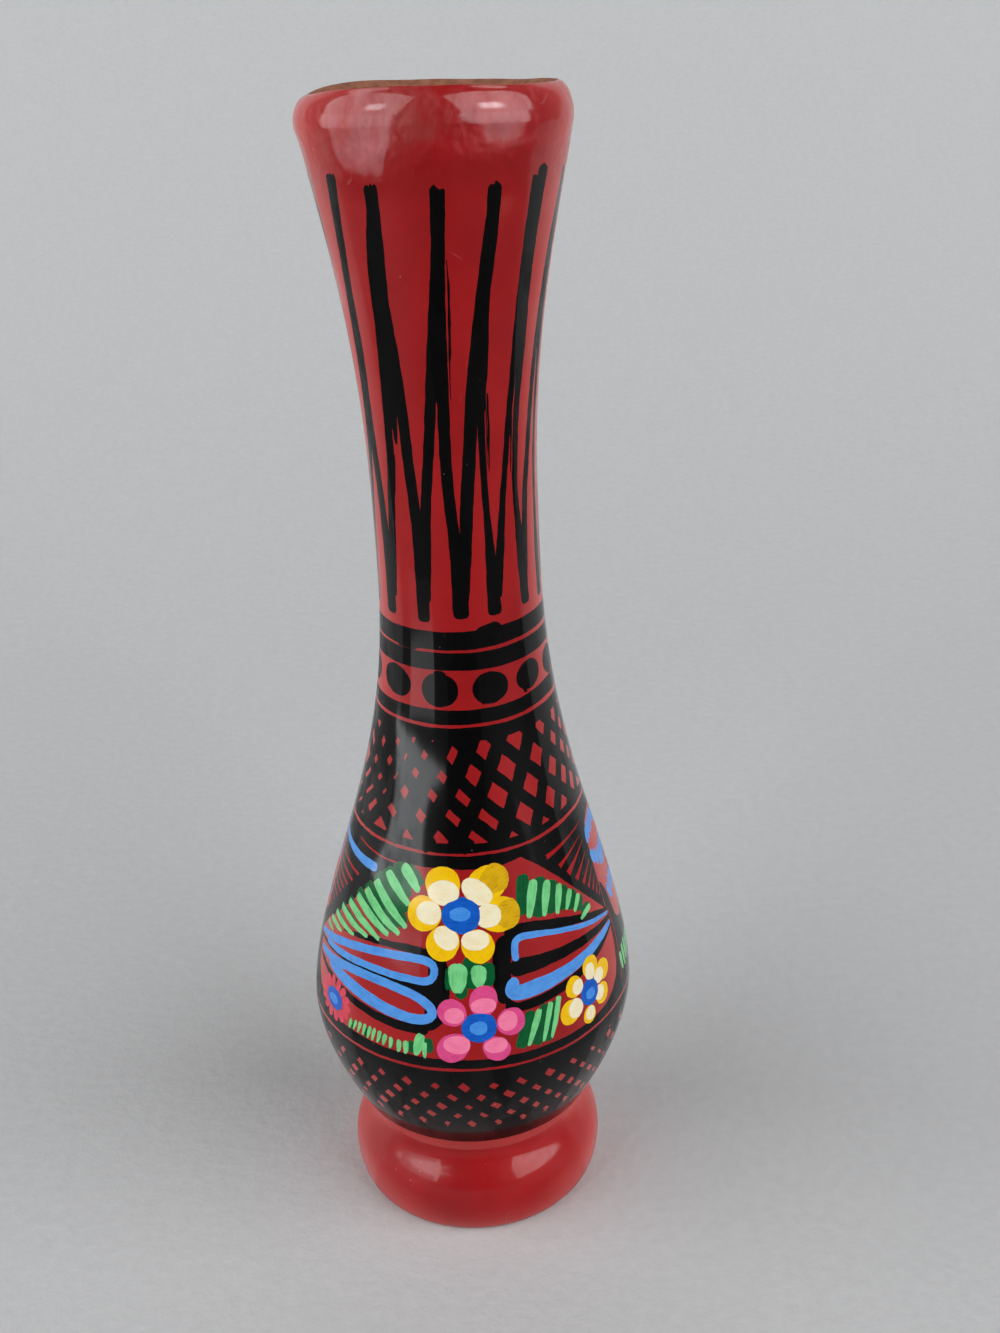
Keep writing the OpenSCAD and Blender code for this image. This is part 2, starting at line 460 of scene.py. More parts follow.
# Angle over the crest in radians where the lacquer starts to wear, and the run to bare clay
worn_from = 1.05
worn_run = 0.75
lip_base = neck_top + slip_t
lip_outside_z = close_ended(lip_base, lip_z, lip_step)
crest = np.linspace(0.0, np.pi, 44)[1:]
crest_coat = 1.0 - smooth_step((crest - worn_from) / worn_run)
turned("vase_lip", "lip", "red_lacquer", lacquer, *stacked(
    coated(outer_r(lip_outside_z), lip_outside_z),
    (lip_r - lip_t / 2.0 * (1.0 - np.cos(crest)), lip_z + lip_crest_h * np.sin(crest), crest_coat),
    bare([inner_r(lip_base - seat_fall)], [lip_base - seat_fall]),
), True)

# Slip joints
# The thin layers of liquid clay that hold the sections together, squeezed flush when they were pressed.
# Outside they lie under the lacquer, inside they show as fine bare lines.


def slip_ring(name, cad_node, joint_z):
    """A layer of slip on a sloping seat: two short walls that follow the sections, joined by the seats."""
    rows = np.linspace(0.0, slip_t, 4)
    turned(name, cad_node, "raw_clay", lacquer, *stacked(
        coated(outer_r(joint_z + rows), joint_z + rows),
        bare(inner_r(joint_z - seat_fall + rows[::-1]), joint_z - seat_fall + rows[::-1]),
    ), True)


slip_ring("belly_slip_ring", "belly_slip", belly_z)
slip_ring("neck_slip_ring", "neck_slip", shoulder_top)
slip_ring("lip_slip_ring", "lip_slip", neck_top)
dish_r = np.linspace(0.0, waist_r, 14)
turned("foot_slip_disc", "foot_slip", "raw_clay", lacquer, *stacked(
    bare(dish_r[:-1], dish_z(dish_r[:-1])),
    coated(dish_r[[-1, -1]], dish_z(dish_r[[-1, -1]]) + [0.0, slip_t]),
    bare(dish_r[-2::-1], dish_z(dish_r[-2::-1]) + slip_t),
), False)

# Neck strokes
# Fourteen brushed forks hang from the lip and split, and meet their neighbours in blunt points below.
# Black lacquer laid with one loaded round brush, so ends are ragged and a few runs are dry.
SINK = 0.008
BEVEL = 0.85
UV_STEP = np.array([17.0, 5.3])
ACROSS = np.array([-1.0, -0.9, -0.72, -0.48, -0.24, 0.0, 0.24, 0.48, 0.72, 0.9, 1.0])
# Least half width of a stroke in mm, and least share of it at an end
HAIR = 0.04
END_SHARE = 0.15
# Lift in mm of the black: a first layer, a second over it, and the bands that cover both
BLACK_LIFT = 0.009
SECOND_LIFT = 0.013
EDGE_LIFT = 0.017


def wall_slope(z):
    """Change of the outer wall's radius with height."""
    return (outer_r(z + 0.05) - outer_r(z - 0.05)) / 0.1


def on_wall(phi, z, lift):
    """Points in metres on the painted wall at angle phi in degrees and height z in mm.
    They are lifted along the wall's normal."""
    angle = np.radians(phi)
    slope = wall_slope(z)
    norm = np.sqrt(1.0 + slope ** 2)
    r = outer_r(z) + hand_wobble(angle, z) + lift / norm
    up = z - lift * slope / norm
    return np.stack([lean(z) + r * np.sin(angle), -r * np.cos(angle), up], -1) * MM


def wall_normal(phi, z):
    """Outward normals of the painted wall: the cross product of a small step round it and one up it."""
    here = on_wall(phi, z, 0.0)
    normal = np.cross(on_wall(phi + 0.1, z, 0.0) - here, on_wall(phi, z + 0.05, 0.0) - here)
    return normal / np.linalg.norm(normal, axis=-1, keepdims=True)


def through(points, samples):
    """A smooth curve through (angle, height) points: cubics whose slope at each point is half the step
    between its neighbours. Both ends are carried straight on."""
    p = np.asarray(points, float)
    p = np.vstack([2.0 * p[0] - p[1], p, 2.0 * p[-1] - p[-2]])
    t = np.linspace(0.0, len(points) - 1.0, samples)
    k = np.minimum(t.astype(int), len(points) - 2)
    f = (t - k)[:, None]
    a, b, c, d = p[k], p[k + 1], p[k + 2], p[k + 3]
    return 0.5 * (2.0 * b + (c - a) * f + (2.0 * a - 5.0 * b + 4.0 * c - d) * f ** 2
                  + (3.0 * b - a - 3.0 * c + d) * f ** 3)


def tremble(rng, s, size, lengths=(5.0, 2.1, 0.9)):
    """Uneven edge of a hand-held brush: the mean of sines of a few wavelengths in mm with random starts."""
    waves = [np.sin(2.0 * np.pi * (s / length + rng.random())) * (length / lengths[0]) ** 0.5
             for length in lengths]
    return size * sum(waves) / len(waves)


def stroke(rng, points, widths, steps=40, rough=0.07, ragged=(0.0, 0.0), blunt=2.0):
    """One brush stroke as a grid of (angle, height): rows follow the path, columns run across it.
    Width in mm is eased between the given values, trembles along both edges and rounds off at the ends
    (blunt 2 is a half circle, more is squarer). ragged pulls bristle marks of those lengths into the ends.
    Returns the angles and heights, and the mm along and across the stroke."""
    path = through(points, 40 * len(points))
    local_r = outer_r(path[:, 1])
    run = np.hypot(np.diff(np.radians(path[:, 0])) * local_r[1:], np.diff(path[:, 1]))
    along = np.concatenate([[0.0], np.cumsum(run)])
    length = along[-1]
    even = np.linspace(0.0, 1.0, steps)
    s = length * (0.35 * even + 0.65 * (0.5 - 0.5 * np.cos(np.pi * even)))
    half = np.interp(s / length, np.linspace(0.0, 1.0, len(widths)), widths) / 2.0
    from_end = np.minimum(s, length - s) / np.maximum(half, 0.05)
    rounded = (1.0 - (1.0 - np.clip(from_end, 0.0, 1.0)) ** blunt) ** (1.0 / blunt)
    half = half * np.maximum(rounded, END_SHARE)
    left = np.maximum(half + tremble(rng, s, rough), HAIR)
    right = np.maximum(half + tremble(rng, s, rough), HAIR)
    bristles = np.array(ragged)[:, None] * rng.random((2, len(ACROSS)))
    pull = np.exp(-s / 1.0)[:, None] * bristles[0] - np.exp(-(length - s) / 1.0)[:, None] * bristles[1]
    place = np.clip(s[:, None] + pull, 0.0, length)
    phi = np.interp(place, along, path[:, 0])
    z = np.interp(place, along, path[:, 1])
    r = outer_r(z)
    mid = len(ACROSS) // 2
    step_phi = np.gradient(np.radians(phi[:, mid])) * r[:, mid]
    step_z = np.gradient(z[:, mid])
    size = np.maximum(np.hypot(step_phi, step_z), 1e-6)
    side_phi = (-step_z / size)[:, None]
    side_z = (step_phi / size)[:, None]
    offset = np.where(ACROSS < 0.0, left[:, None] * ACROSS, right[:, None] * ACROSS)
    return phi + np.degrees(side_phi * offset / r), z + side_z * offset, place, offset


def painted(name, material, patches, lift):
    """A piece of paint: every patch is a thin closed skin over the wall, flat on top at a lift in mm,
    bevelled in its outermost row and sunk a little into the clay along its edge and underneath.
    It has flowed out flush, so its top takes the wall's own normals."""
    points, faces, uvs, normals = [], [], [], []
    start = 0
    core = (slice(1, -1), slice(1, -1))
    for k, (phi, z, along, across) in enumerate(patches):
        rows, cols = phi.shape
        height = np.full((rows, cols), -SINK)
        height[core] = BEVEL * lift
        height[2:-2, 2:-2] = lift
        top = np.arange(rows * cols).reshape(rows, cols)
        under = top.copy()
        inner = (rows - 2) * (cols - 2)
        under[core] = rows * cols + np.arange(inner).reshape(rows - 2, cols - 2)
        points += [on_wall(phi, z, height).reshape(-1, 3), on_wall(phi[core], z[core], -SINK).reshape(-1, 3)]
        uv = np.stack([along, across], -1) + k * UV_STEP
        uvs += [uv.reshape(-1, 2), uv[core].reshape(-1, 2)]
        out = wall_normal(phi, z)
        for grid, facing, order in ((top, out, (0, 1, 2, 3)), (under, -out, (3, 2, 1, 0))):
            corners = (grid[:-1, :-1], grid[1:, :-1], grid[1:, 1:], grid[:-1, 1:])
            turned_out = (facing[:-1, :-1], facing[1:, :-1], facing[1:, 1:], facing[:-1, 1:])
            faces.append(start + np.stack([corners[c] for c in order], -1).reshape(-1, 4))
            normals.append(np.stack([turned_out[c] for c in order], -2).reshape(-1, 3))
        start += rows * cols + inner
    piece = new_object(name, np.concatenate(points), np.concatenate(faces).tolist(), material)
    mesh = piece.data
    mesh.normals_split_custom_set(np.concatenate(normals).tolist())
    corner = np.zeros(len(mesh.loops), np.int32)
    mesh.loops.foreach_get("vertex_index", corner)
    mesh.uv_layers.new(name="stroke").data.foreach_set("uv", np.concatenate(uvs)[corner].ravel())
    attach(piece, "root")


# Brush drag: fine lines along a stroke, read from the stroke's own map of mm along and across it
drag, _, drag_out = new_group("brush_drag", [], ["Streak", "Pool"])
stroke_map = node(drag, "ShaderNodeUVMap", uv_map="stroke").outputs["UV"]
stretched = node(drag, "ShaderNodeMapping", {"Scale": (0.16, 3.2, 1.0)}, {"Vector": stroke_map}).outputs[0]
drag.links.new(ramp(drag, noise(drag, stretched, 1.0, 4.0, 0.6), 0.32, 0.68), drag_out.inputs["Streak"])
drag.links.new(ramp(drag, noise(drag, stroke_map, 0.55, 2.0), 0.35, 0.65), drag_out.inputs["Pool"])


def brushed_paint(name, thin, full, coverage=0.5, specks=0.2):
    """Glossy brushed paint under old varnish: a thin tone shows in streaks and pools through the full one.
    coverage is how much of it shows, specks how much dust."""
    made, tree, inputs = new_material(name, {
        "Specular IOR Level": 0.02, "Roughness": 0.4, "Coat Roughness": 0.06, "Coat IOR": COAT_IOR})
    aged = node(tree, "ShaderNodeGroup", node_tree=wear)
    brush = node(tree, "ShaderNodeGroup", node_tree=drag)
    both = math(tree, "MULTIPLY", brush.outputs["Streak"], brush.outputs["Pool"])
    tone = math(tree, "SUBTRACT", 1.0, math(tree, "MULTIPLY", both, coverage))
    colour = colour_mix(tree, tone, thin, full)
    colour = colour_mix(tree, math(tree, "MULTIPLY", aged.outputs["Speck"], specks), colour, DUST)
    tree.links.new(colour, inputs["Base Color"])
    gloss = math(tree, "SUBTRACT", 0.9, math(tree, "MULTIPLY", aged.outputs["Dull"], 0.5))
    tree.links.new(gloss, inputs["Coat Weight"])
    ridges = math(tree, "MULTIPLY", brush.outputs["Streak"], 0.06)
    relief(tree, inputs, math(tree, "ADD", ridges, aged.outputs["Height"]))
    return made


black = brushed_paint("black_lacquer_paint", srgb(17, 11, 12), srgb(7, 7, 8), 0.5, 0.12)

# Heights down each fork's two strokes. Each fork has the angles of both strokes at those heights, how full
# the right and the left stroke stay half way down, how much higher it starts, and its foot's width and drop
RIGHT_Z = (187.5, 179, 170, 161, 152, 145, 139, 130.5, 119.4)
LEFT_Z = (186, 175, 166, 157.5, 150, 144, 138.5, 131, 122)
FORKS = (
    ((-51, -55.3, -58.8, -60.2, -62.3, -61.5, -59.3, -56.8, -55.6),
     (-52, -57.5, -61.5, -64, -66.5, -70, -74, -78, -81), 1.35, 1.0, 1.4, 2.7, 0.8),
    ((-30, -31.5, -33.3, -32, -31, -30.3, -28.8, -27.2, -27),
     (-30.5, -37, -39, -41.5, -43.3, -44.8, -47.3, -49.8, -51.5), 1.3, 1.0, 0.0, 2.3, 1.0),
    ((-0.8, -2, -3, -3.8, -4.7, -5, -4.3, -2, -1),
     (-1.2, -3.8, -7.4, -11, -14.3, -17.4, -20.2, -22.3, -23.8), 1.25, 1.05, -0.4, 2.9, 0.3),
    ((24.6, 23.6, 21, 20.7, 18.8, 19.2, 19.8, 21.2, 22.3),
     (24, 20.6, 17.2, 13.8, 11.6, 9.4, 7, 4.6, 2.2), 0.78, 1.3, -0.3, 2.7, 0.3),
    ((51.5, 49.8, 48.8, 48.6, 45.8, 44.6, 43.8, 46.4, 49.2),
     (46.2, 45.4, 44.2, 42, 38.6, 36, 33, 29.3, 25.8), 0.85, 0.7, 1.5, 2.2, 0.0),
    ((75, 74, 72.5, 71.5, 70.5, 69.5, 69, 69.5, 71),
     (74, 69.5, 67, 63.8, 61, 58, 54.5, 52, 50.2), 0.8, 0.9, 0.5, 2.2, 0.2),
)
RIGHT_WIDTHS = np.array([2.4, 2.15, 1.85, 1.8, 1.65, 1.55, 1.55, 2.2, 0.0])
LEFT_WIDTHS = np.array([1.2, 1.7, 1.8, 1.8, 1.75, 1.7, 1.75, 1.8, 1.2])
MID_SHARE = np.array([0.0, 0.0, 0.0, 0.2, 0.8, 1.0, 1.0, 0.3, 0.0])
FOOT_SHARE = np.array([0.0, 0.0, 0.0, 0.0, 0.0, 0.0, 0.0, 0.0, 1.0])
FORK_STEP = 25.7

rng = np.random.default_rng(11)
# The hidden side goes on with the fourth fork's shape, turned on by even steps and a little shaken
hidden = [(*(np.array(leg) + FORK_STEP * turn + rng.uniform(-1.0, 1.0, 9) for leg in FORKS[3][:2]),
           rng.uniform(0.75, 1.1), rng.uniform(0.8, 1.05), rng.uniform(-0.4, 1.4), 2.5, 0.3)
          for turn in range(3, 11)]
right_strokes, left_strokes = [], []
for right_phi, left_phi, right_full, left_full, higher, foot_w, lower in [*FORKS, *hidden]:
    rise = higher * np.linspace(1.0, 0.0, 9)
    right_line = list(zip(right_phi, np.array(RIGHT_Z) + rise - lower * FOOT_SHARE))
    left_line = list(zip(left_phi, np.array(LEFT_Z) + rise))
    right_slim = 1.0 + (right_full - 1.0) * MID_SHARE
    left_slim = 1.0 + (left_full - 1.0) * MID_SHARE
    right_w = RIGHT_WIDTHS * right_slim + foot_w * FOOT_SHARE
    left_w = LEFT_WIDTHS * left_slim
    right_strokes.append(
        stroke(rng, right_line, right_w, steps=80, rough=0.09, ragged=(0.8, 0.15), blunt=2.3))
    left_strokes.append(
        stroke(rng, left_line, left_w, steps=80, rough=0.09, ragged=(0.6, 0.0), blunt=2.4))
# Filled angles of a few forks, and thin marks beside others where single hairs of the brush ran on
HAIRS = (
    (((-57, 176), (-62, 160), (-66, 147)), (0.8, 2.0, 1.0)),
    (((-33.5, 180), (-36, 166), (-37.4, 157), (-38, 147.5)), (0.8, 2.3, 2.5, 0.5)),
    (((-6.6, 165), (-8, 160), (-8.9, 154.6)), (0.6, 1.2, 0.6)),
    (((18.5, 166), (17.2, 158), (16.4, 151.6)), (0.6, 1.3, 0.6)),
    (((1.6, 176.5), (2.0, 171.5), (1.2, 165), (0.4, 158)), (0.15, 0.4, 0.3, 0.15)),
    (((1.4, 170), (0.9, 163), (0.2, 155)), (0.1, 0.22, 0.1)),
    (((2.6, 173), (2.0, 166), (1.6, 161)), (0.08, 0.18, 0.08)),
    (((23.0, 156), (23.7, 150), (23.3, 143)), (0.3, 0.45, 0.15)),
    (((22.0, 155), (22.4, 149), (22.2, 144)), (0.1, 0.2, 0.1)),
    (((41.6, 154), (40.9, 148), (40.2, 142)), (0.3, 0.4, 0.15)),
    (((-40.5, 146.5), (-42.5, 142), (-46.5, 136)), (0.3, 0.5, 0.3)),
)
left_strokes += [stroke(rng, line, widths, steps=30, rough=0.08, ragged=(0.3, 0.6))
                 for line, widths in HAIRS]
painted("neck_right_strokes", black, right_strokes, BLACK_LIFT)
painted("neck_left_strokes", black, left_strokes, SECOND_LIFT)

# Black bands
# Rings of black lacquer laid while the vase turned: two under the neck strokes, one under the row of spots,
# and the solid edges of both trellis bands. Thin red lines are left between them.


def right_rise(phi):
    """Share of a band's climb at each angle in degrees: a bell curve, as the bands rise on the right."""
    return near(np.radians(phi), 68.0, 36.0)


def band(rng, low, high, rough, start=200.0, rises=(0.0, 0.0)):
    """A ring painted in one turn: rows round the vase and a little past its start, columns from low to high.
    Both edges waver slowly and climb by their rises on the right."""
    phi = np.linspace(start, start + 363.0, 420)
    mid_r = float(outer_r(0.5 * (low + high)))
    s = np.radians(phi - start) * mid_r
    waves = (31.0, 13.0, 4.7, 1.6)
    bottom = low + tremble(rng, s, rough, waves) + rises[0] * right_rise(phi)
    top = high + tremble(rng, s, rough, waves) + rises[1] * right_rise(phi)
    v = 0.5 + 0.5 * ACROSS
    z = bottom[:, None] + (top - bottom)[:, None] * v
    along = np.broadcast_to(s[:, None], z.shape)
    return np.broadcast_to(phi[:, None], z.shape), z, along, z - low


rng = np.random.default_rng(23)
neck_bands = [
    band(rng, 113.95, 117.3, rough=0.22, rises=(0.8, 0.6)),
    band(rng, 110.4, 113.65, rough=0.18, start=150.0, rises=(0.5, 0.45)),
    band(rng, 101.25, 103.8, rough=0.2, rises=(0.9, 1.3)),
]
painted("neck_bands", black, neck_bands, BLACK_LIFT)
trellis_edges = [
    band(rng, 98.4, 100.8, rough=0.25, rises=(0.8, 0.7)),
    band(rng, 79.85, 81.4, rough=0.22, start=170.0, rises=(1.6, 1.5)),
]
painted("trellis_edges", black, trellis_edges, EDGE_LIFT)

# Spots
# A row of black ovals pressed with the side of the brush on the red strip between two bands.
# Some have a dry, split edge where the brush was lifted.

# Angle, height, length and width of the spots in view; the hidden ones follow at an even pitch
SPOTS = (
    (-51.5, 107.4, 6.9, 5.5), (-18, 107.1, 6.4, 6.1), (15.2, 107.2, 6.3, 5.7), (45, 107.6, 5.9, 5.1),
    (74, 107.5, 6.0, 5.3), *((103 + 28.7 * k, 107.4, 6.2, 5.6) for k in range(7)),
)


def dab(rng, phi, z, length, width, turn, rough, steps, taper=0.0):
    """An oval dab at (angle, height): length along turn degrees from level, width across, in mm.
    Its half width follows an ellipse; taper makes it fuller towards its far end."""
    r = float(outer_r(z))
    reach_phi = np.degrees(0.5 * length * np.cos(np.radians(turn)) / r)
    reach_z = 0.5 * length * np.sin(np.radians(turn))
    x = np.linspace(-1.0, 1.0, 41)
    oval = width * np.sqrt(np.maximum(1.0 - x ** 2, 0.0)) * (1.0 + taper * x)
    points = [(phi - reach_phi, z - reach_z), (phi, z), (phi + reach_phi, z + reach_z)]
    return stroke(rng, points, oval, steps, rough, blunt=8.0)


rng = np.random.default_rng(31)
spots = []
for k, (phi, z, long, wide) in enumerate(SPOTS):
    at_z = z + rng.uniform(-0.1, 0.1)
    spots.append(dab(rng, phi, at_z, long, wide, turn=9.0 * (k % 4) - 12.0, rough=0.13, steps=30))
SPOT_TAILS = (
    (((10.5, 107.8), (6.5, 106.4), (3.6, 106.0)), (2.2, 1.2, 0.4)),
    (((10.0, 106.2), (7.5, 105.2), (5.6, 105.4)), (1.6, 0.9, 0.3)),
    (((12.0, 105.6), (9.6, 104.7), (8.0, 104.8)), (1.2, 0.7, 0.3)),
    (((41.5, 106.3), (39.8, 105.3), (41.8, 104.6)), (1.4, 0.8, 0.5)),
    (((-22.0, 110.0), (-17.0, 110.2), (-12.0, 109.8)), (0.8, 0.6, 0.4)),
    (((-50, 113.8), (-42, 113.9), (-33, 113.8)), (0.4, 0.7, 0.4)),
    (((8.0, 117.1), (14.0, 117.5), (21.0, 117.6), (27.0, 117.1)), (0.7, 1.0, 1.5, 0.6)),
)
spots += [stroke(rng, line, widths, steps=20, rough=0.1, ragged=(0.2, 0.6))
          for line, widths in SPOT_TAILS]
painted("spot_row", black, spots, SECOND_LIFT)

# Upper trellis
# Two sets of slanting black strokes, crossed over the shoulder so that red lozenges are left between them.
# One set leans a little, the other runs at about half a right angle.
# Height of the strokes' low ends, their middles and their high ends
TRELLIS_Z = (80.4, 90.0, 99.6)
# Angle at mid height and width in mm of the strokes in view; the hidden ones follow at an even pitch
STEEP = (
    (-76, 2.3), (-63.5, 2.4), (-52.5, 2.1), (-42, 2.4), (-28.5, 3.4), (-12.5, 3.0), (5.5, 2.6), (26.3, 2.8),
    (45, 2.4), (59, 2.0), (71, 1.9), (83, 2.0),
)
LEVEL = (
    (-69, 2.5), (-51, 2.9), (-32.5, 2.9), (-16.5, 2.3), (0, 2.2), (20.3, 2.2), (42.5, 2.4), (66, 2.3),
    (83, 2.1),
)


def slanting(rng, places, heights, slant, jitter, rise=0.0, fan=0.0):
    """Crossing strokes between two heights: each passes its angle at the middle height and drifts by slant
    degrees for every mm of height, with a slight bend and an uneven width. Its low end climbs with the band.
    Low ends on the left fan out: their slant grows with the angle left of -30, by fan at most."""
    low, middle, high = heights
    made = []
    for phi, width in places:
        phi = phi + rng.uniform(-jitter, jitter)
        bend = rng.uniform(-0.6, 0.6)
        foot = low + rise * float(right_rise(phi + slant * (low - middle)))
        spread = slant + np.clip(0.05 * (-30.0 - phi), 0.0, fan)
        points = [
            (phi + slant * (high - middle), high),
            (phi + bend, middle),
            (phi + spread * (foot - middle), foot),
        ]
        w = width * rng.uniform(0.94, 1.06)
        made.append(stroke(rng, points, (w, w * 0.95, w * 1.05), steps=44, rough=0.14, blunt=6.0))
    return made


rng = np.random.default_rng(47)
steep_places = STEEP + tuple((99.7 + 16.8 * k, 2.6) for k in range(11))
level_places = LEVEL + tuple((101.5 + 18.5 * k, 2.4) for k in range(10))
steep = slanting(rng, steep_places, TRELLIS_Z, slant=1.55, jitter=0.5, rise=1.6, fan=1.2)
level = slanting(rng, level_places, TRELLIS_Z, slant=-3.3, jitter=0.5, rise=1.6)
painted("trellis_steep_strokes", black, steep, BLACK_LIFT)
painted("trellis_level_strokes", black, level, SECOND_LIFT)

# Panel ground
# Black ground round the flower panels: it fills the corners above them and frames them below,
# so that the red panels are left as pointed eyes with a narrow upright panel between them.
PANEL_TOP = (
    (-83, 56.5), (-78, 59.5), (-70, 62.5), (-62, 66), (-55, 69.5), (-48, 72.5), (-40, 75.5), (-30, 77.2),
    (-15, 77.3), (0, 77.2), (12, 77.4), (22, 78), (30, 75.9), (40, 72.2), (50, 68), (58, 64.4), (63, 62.2),
    (65.3, 60.8), (65.8, 72), (67, 75.5), (70, 77.2), (76, 77.8), (82, 77.9), (88, 77.5), (92, 76),
    (94.5, 72), (95.3, 62), (95.6, 56.6), (96.5, 56.2),
)
PANEL_FOOT = (
    (-83, 55.5), (-79, 50.5), (-74, 47.5), (-66, 45.8), (-55, 45), (-30, 44.6), (0, 44.5), (30, 44.8),
    (45, 45.2), (53, 46), (58, 47.2), (62, 49), (64.2, 51.5), (65, 56), (65.4, 60.5), (65.9, 66.5),
    (68, 65.6), (70.5, 63.5), (72, 60.5), (73.5, 58), (76, 56.6), (81, 56), (86, 56.4), (90, 57.5),
    (93, 59.5), (95, 60), (95.5, 56), (96.5, 55.9),
)


def panel_edge(points, phi):
    """Height of a panel's edge at each angle: straight between the points, which repeat on the back half."""
    angles, heights = np.array(points, float).T
    around = np.concatenate([angles - 180.0, angles, angles + 180.0, angles + 360.0])
    return np.interp(phi, around, np.tile(heights, 4))


def fill(rng, low, high, rough=0.12):
    """Ground painted between two edges given as functions of the angle, all round the vase."""
    phi = np.linspace(-80.0, 282.0, 840)
    s = np.radians(phi) * belly_r
    waves = (9.0, 3.1, 1.2)
    bottom = low(phi) + tremble(rng, s, rough, waves)
    top = np.maximum(high(phi) + tremble(rng, s, rough, waves), bottom + 0.15)
    v = np.concatenate([[0.0, 0.006], np.linspace(0.03, 0.97, 26), [0.994, 1.0]])
    z = bottom[:, None] + (top - bottom)[:, None] * v
    return np.broadcast_to(phi[:, None], z.shape), z, np.broadcast_to(s[:, None], z.shape), z


rng = np.random.default_rng(53)
grounds = [
    fill(rng, lambda phi: panel_edge(PANEL_TOP, phi), lambda phi: 79.4 + 1.5 * right_rise(phi)),
    fill(rng, lambda phi: 42.7 + 1.2 * right_rise(phi), lambda phi: panel_edge(PANEL_FOOT, phi)),
]
painted("panel_ground", black, grounds, BLACK_LIFT)

# Lower trellis
# A finer trellis round the bowl under the flower panels, with a solid black edge above and below it.
# It ends at the crease over the foot.
LOWER_Z = (26.4, 33.6, 40.8)
rng = np.random.default_rng(61)
lower_edges = [
    band(rng, 39.9, 42.2, rough=0.16, rises=(0.6, 1.3)),
    band(rng, 20.9, 27.0, rough=0.12, start=170.0),
]
painted("lower_trellis_edges", black, lower_edges, EDGE_LIFT)
pitch = 10.0 * np.arange(36)
lean_right = [(1.5 + p, 2.5 - 0.5 * np.sin(np.radians(p))) for p in pitch]
lean_left = [(0.3 + p, 2.35 + 0.4 * np.sin(np.radians(p))) for p in pitch]
right_leaning = slanting(rng, lean_right, LOWER_Z, slant=1.65, jitter=0.6)
left_leaning = slanting(rng, lean_left, LOWER_Z, slant=-2.1, jitter=0.6)
painted("lower_trellis_right_leaning", black, right_leaning, BLACK_LIFT)
painted("lower_trellis_left_leaning", black, left_leaning, SECOND_LIFT)

# Rays and fine red lines
# Red paint over the black: fans of tapered rays in the corners above the panels and a few hair lines.
# Each ray is pressed down at the panel's edge and lifted off towards the top.
RAY_LIFT = 0.024
red_paint = brushed_paint("red_ray_paint", RED_DEEP, RED, 0.6, 0.2)


def both_panels(rng, points):
    """The points of a motif on the front panel, and again half a turn on, a little shifted by hand."""
    drift = rng.uniform(-1.0, 1.0, 2) * (1.2, 0.25)
    return [points, [(phi + 180.0 + drift[0], z + drift[1]) for phi, z in points]]


def on_both(rng, marks, **brush):
    """Brush strokes along paths with their widths in mm, each on both panels."""
    return [stroke(rng, line, widths, **brush)
            for path, widths in marks for line in both_panels(rng, path)]


def bowed(start, end, bow):
    """A path from start to end by way of their mean, which is raised by bow in mm."""
    return [start, (0.5 * (start[0] + end[0]), 0.5 * (start[1] + end[1]) + bow), end]


rng = np.random.default_rng(67)
# Root, tip and root width of the wedges on the right and of the thin strokes on the left
WEDGES = (
    ((34.5, 76.4), (66, 78.4), 1.0), ((41, 73.9), (60.5, 76.4), 0.9), ((45, 71.9), (62, 75.2), 1.3),
    ((49.5, 70.1), (62, 73.2), 1.1), ((53.2, 68.6), (63.4, 71.4), 1.0), ((56.2, 67.3), (64, 69.8), 0.8),
    ((58.8, 66.2), (64.8, 68.4), 0.7), ((61, 65.2), (65.6, 67), 0.6), ((63, 64.2), (66.2, 65.6), 0.5),
)
THREADS = (
    ((-59.5, 71.6), (-93, 73.2), 0.6), ((-63.5, 69.8), (-94, 71.8), 0.6), ((-67, 68.4), (-95, 70.4), 0.55),
    ((-69.8, 67.2), (-96, 69), 0.5), ((-72.2, 65.9), (-97, 67.6), 0.5), ((-74.6, 64.6), (-98, 66.2), 0.45),
    ((-77, 63.2), (-99, 64.8), 0.45), ((-79.5, 61.7), (-100, 63.4), 0.4),
)
HAIR_LINES = (
    ((-66, 77.6), (-48, 76.9), (-22, 76.9)),
    ((67.2, 61), (67.9, 54.0), (66.4, 46.6)),
)
wedges = [(bowed(root, tip, 0.15), (w, 0.55 * w, 0.25 * w, 0.1)) for root, tip, w in WEDGES]
threads = [(bowed(root, tip, -0.2), (w, 0.8 * w, 0.6 * w, 0.15)) for root, tip, w in THREADS]
hairs = [(line, (0.3, 0.35, 0.2)) for line in HAIR_LINES]
rays = on_both(rng, wedges, steps=30, rough=0.05, ragged=(0.3, 0.0), blunt=6.0)
rays += on_both(rng, threads, steps=30, rough=0.05, ragged=(0.2, 0.0), blunt=3.0)
rays += on_both(rng, hairs, steps=30, rough=0.06)
painted("red_rays", red_paint, rays, RAY_LIFT)

# Wings
# Two pairs of long pointed leaves, one pair from each end of the panel, outlined in sky blue.
# The red ground is left inside them, and black strokes shade them all round.
WING_LIFT = 0.03
rng = np.random.default_rng(71)
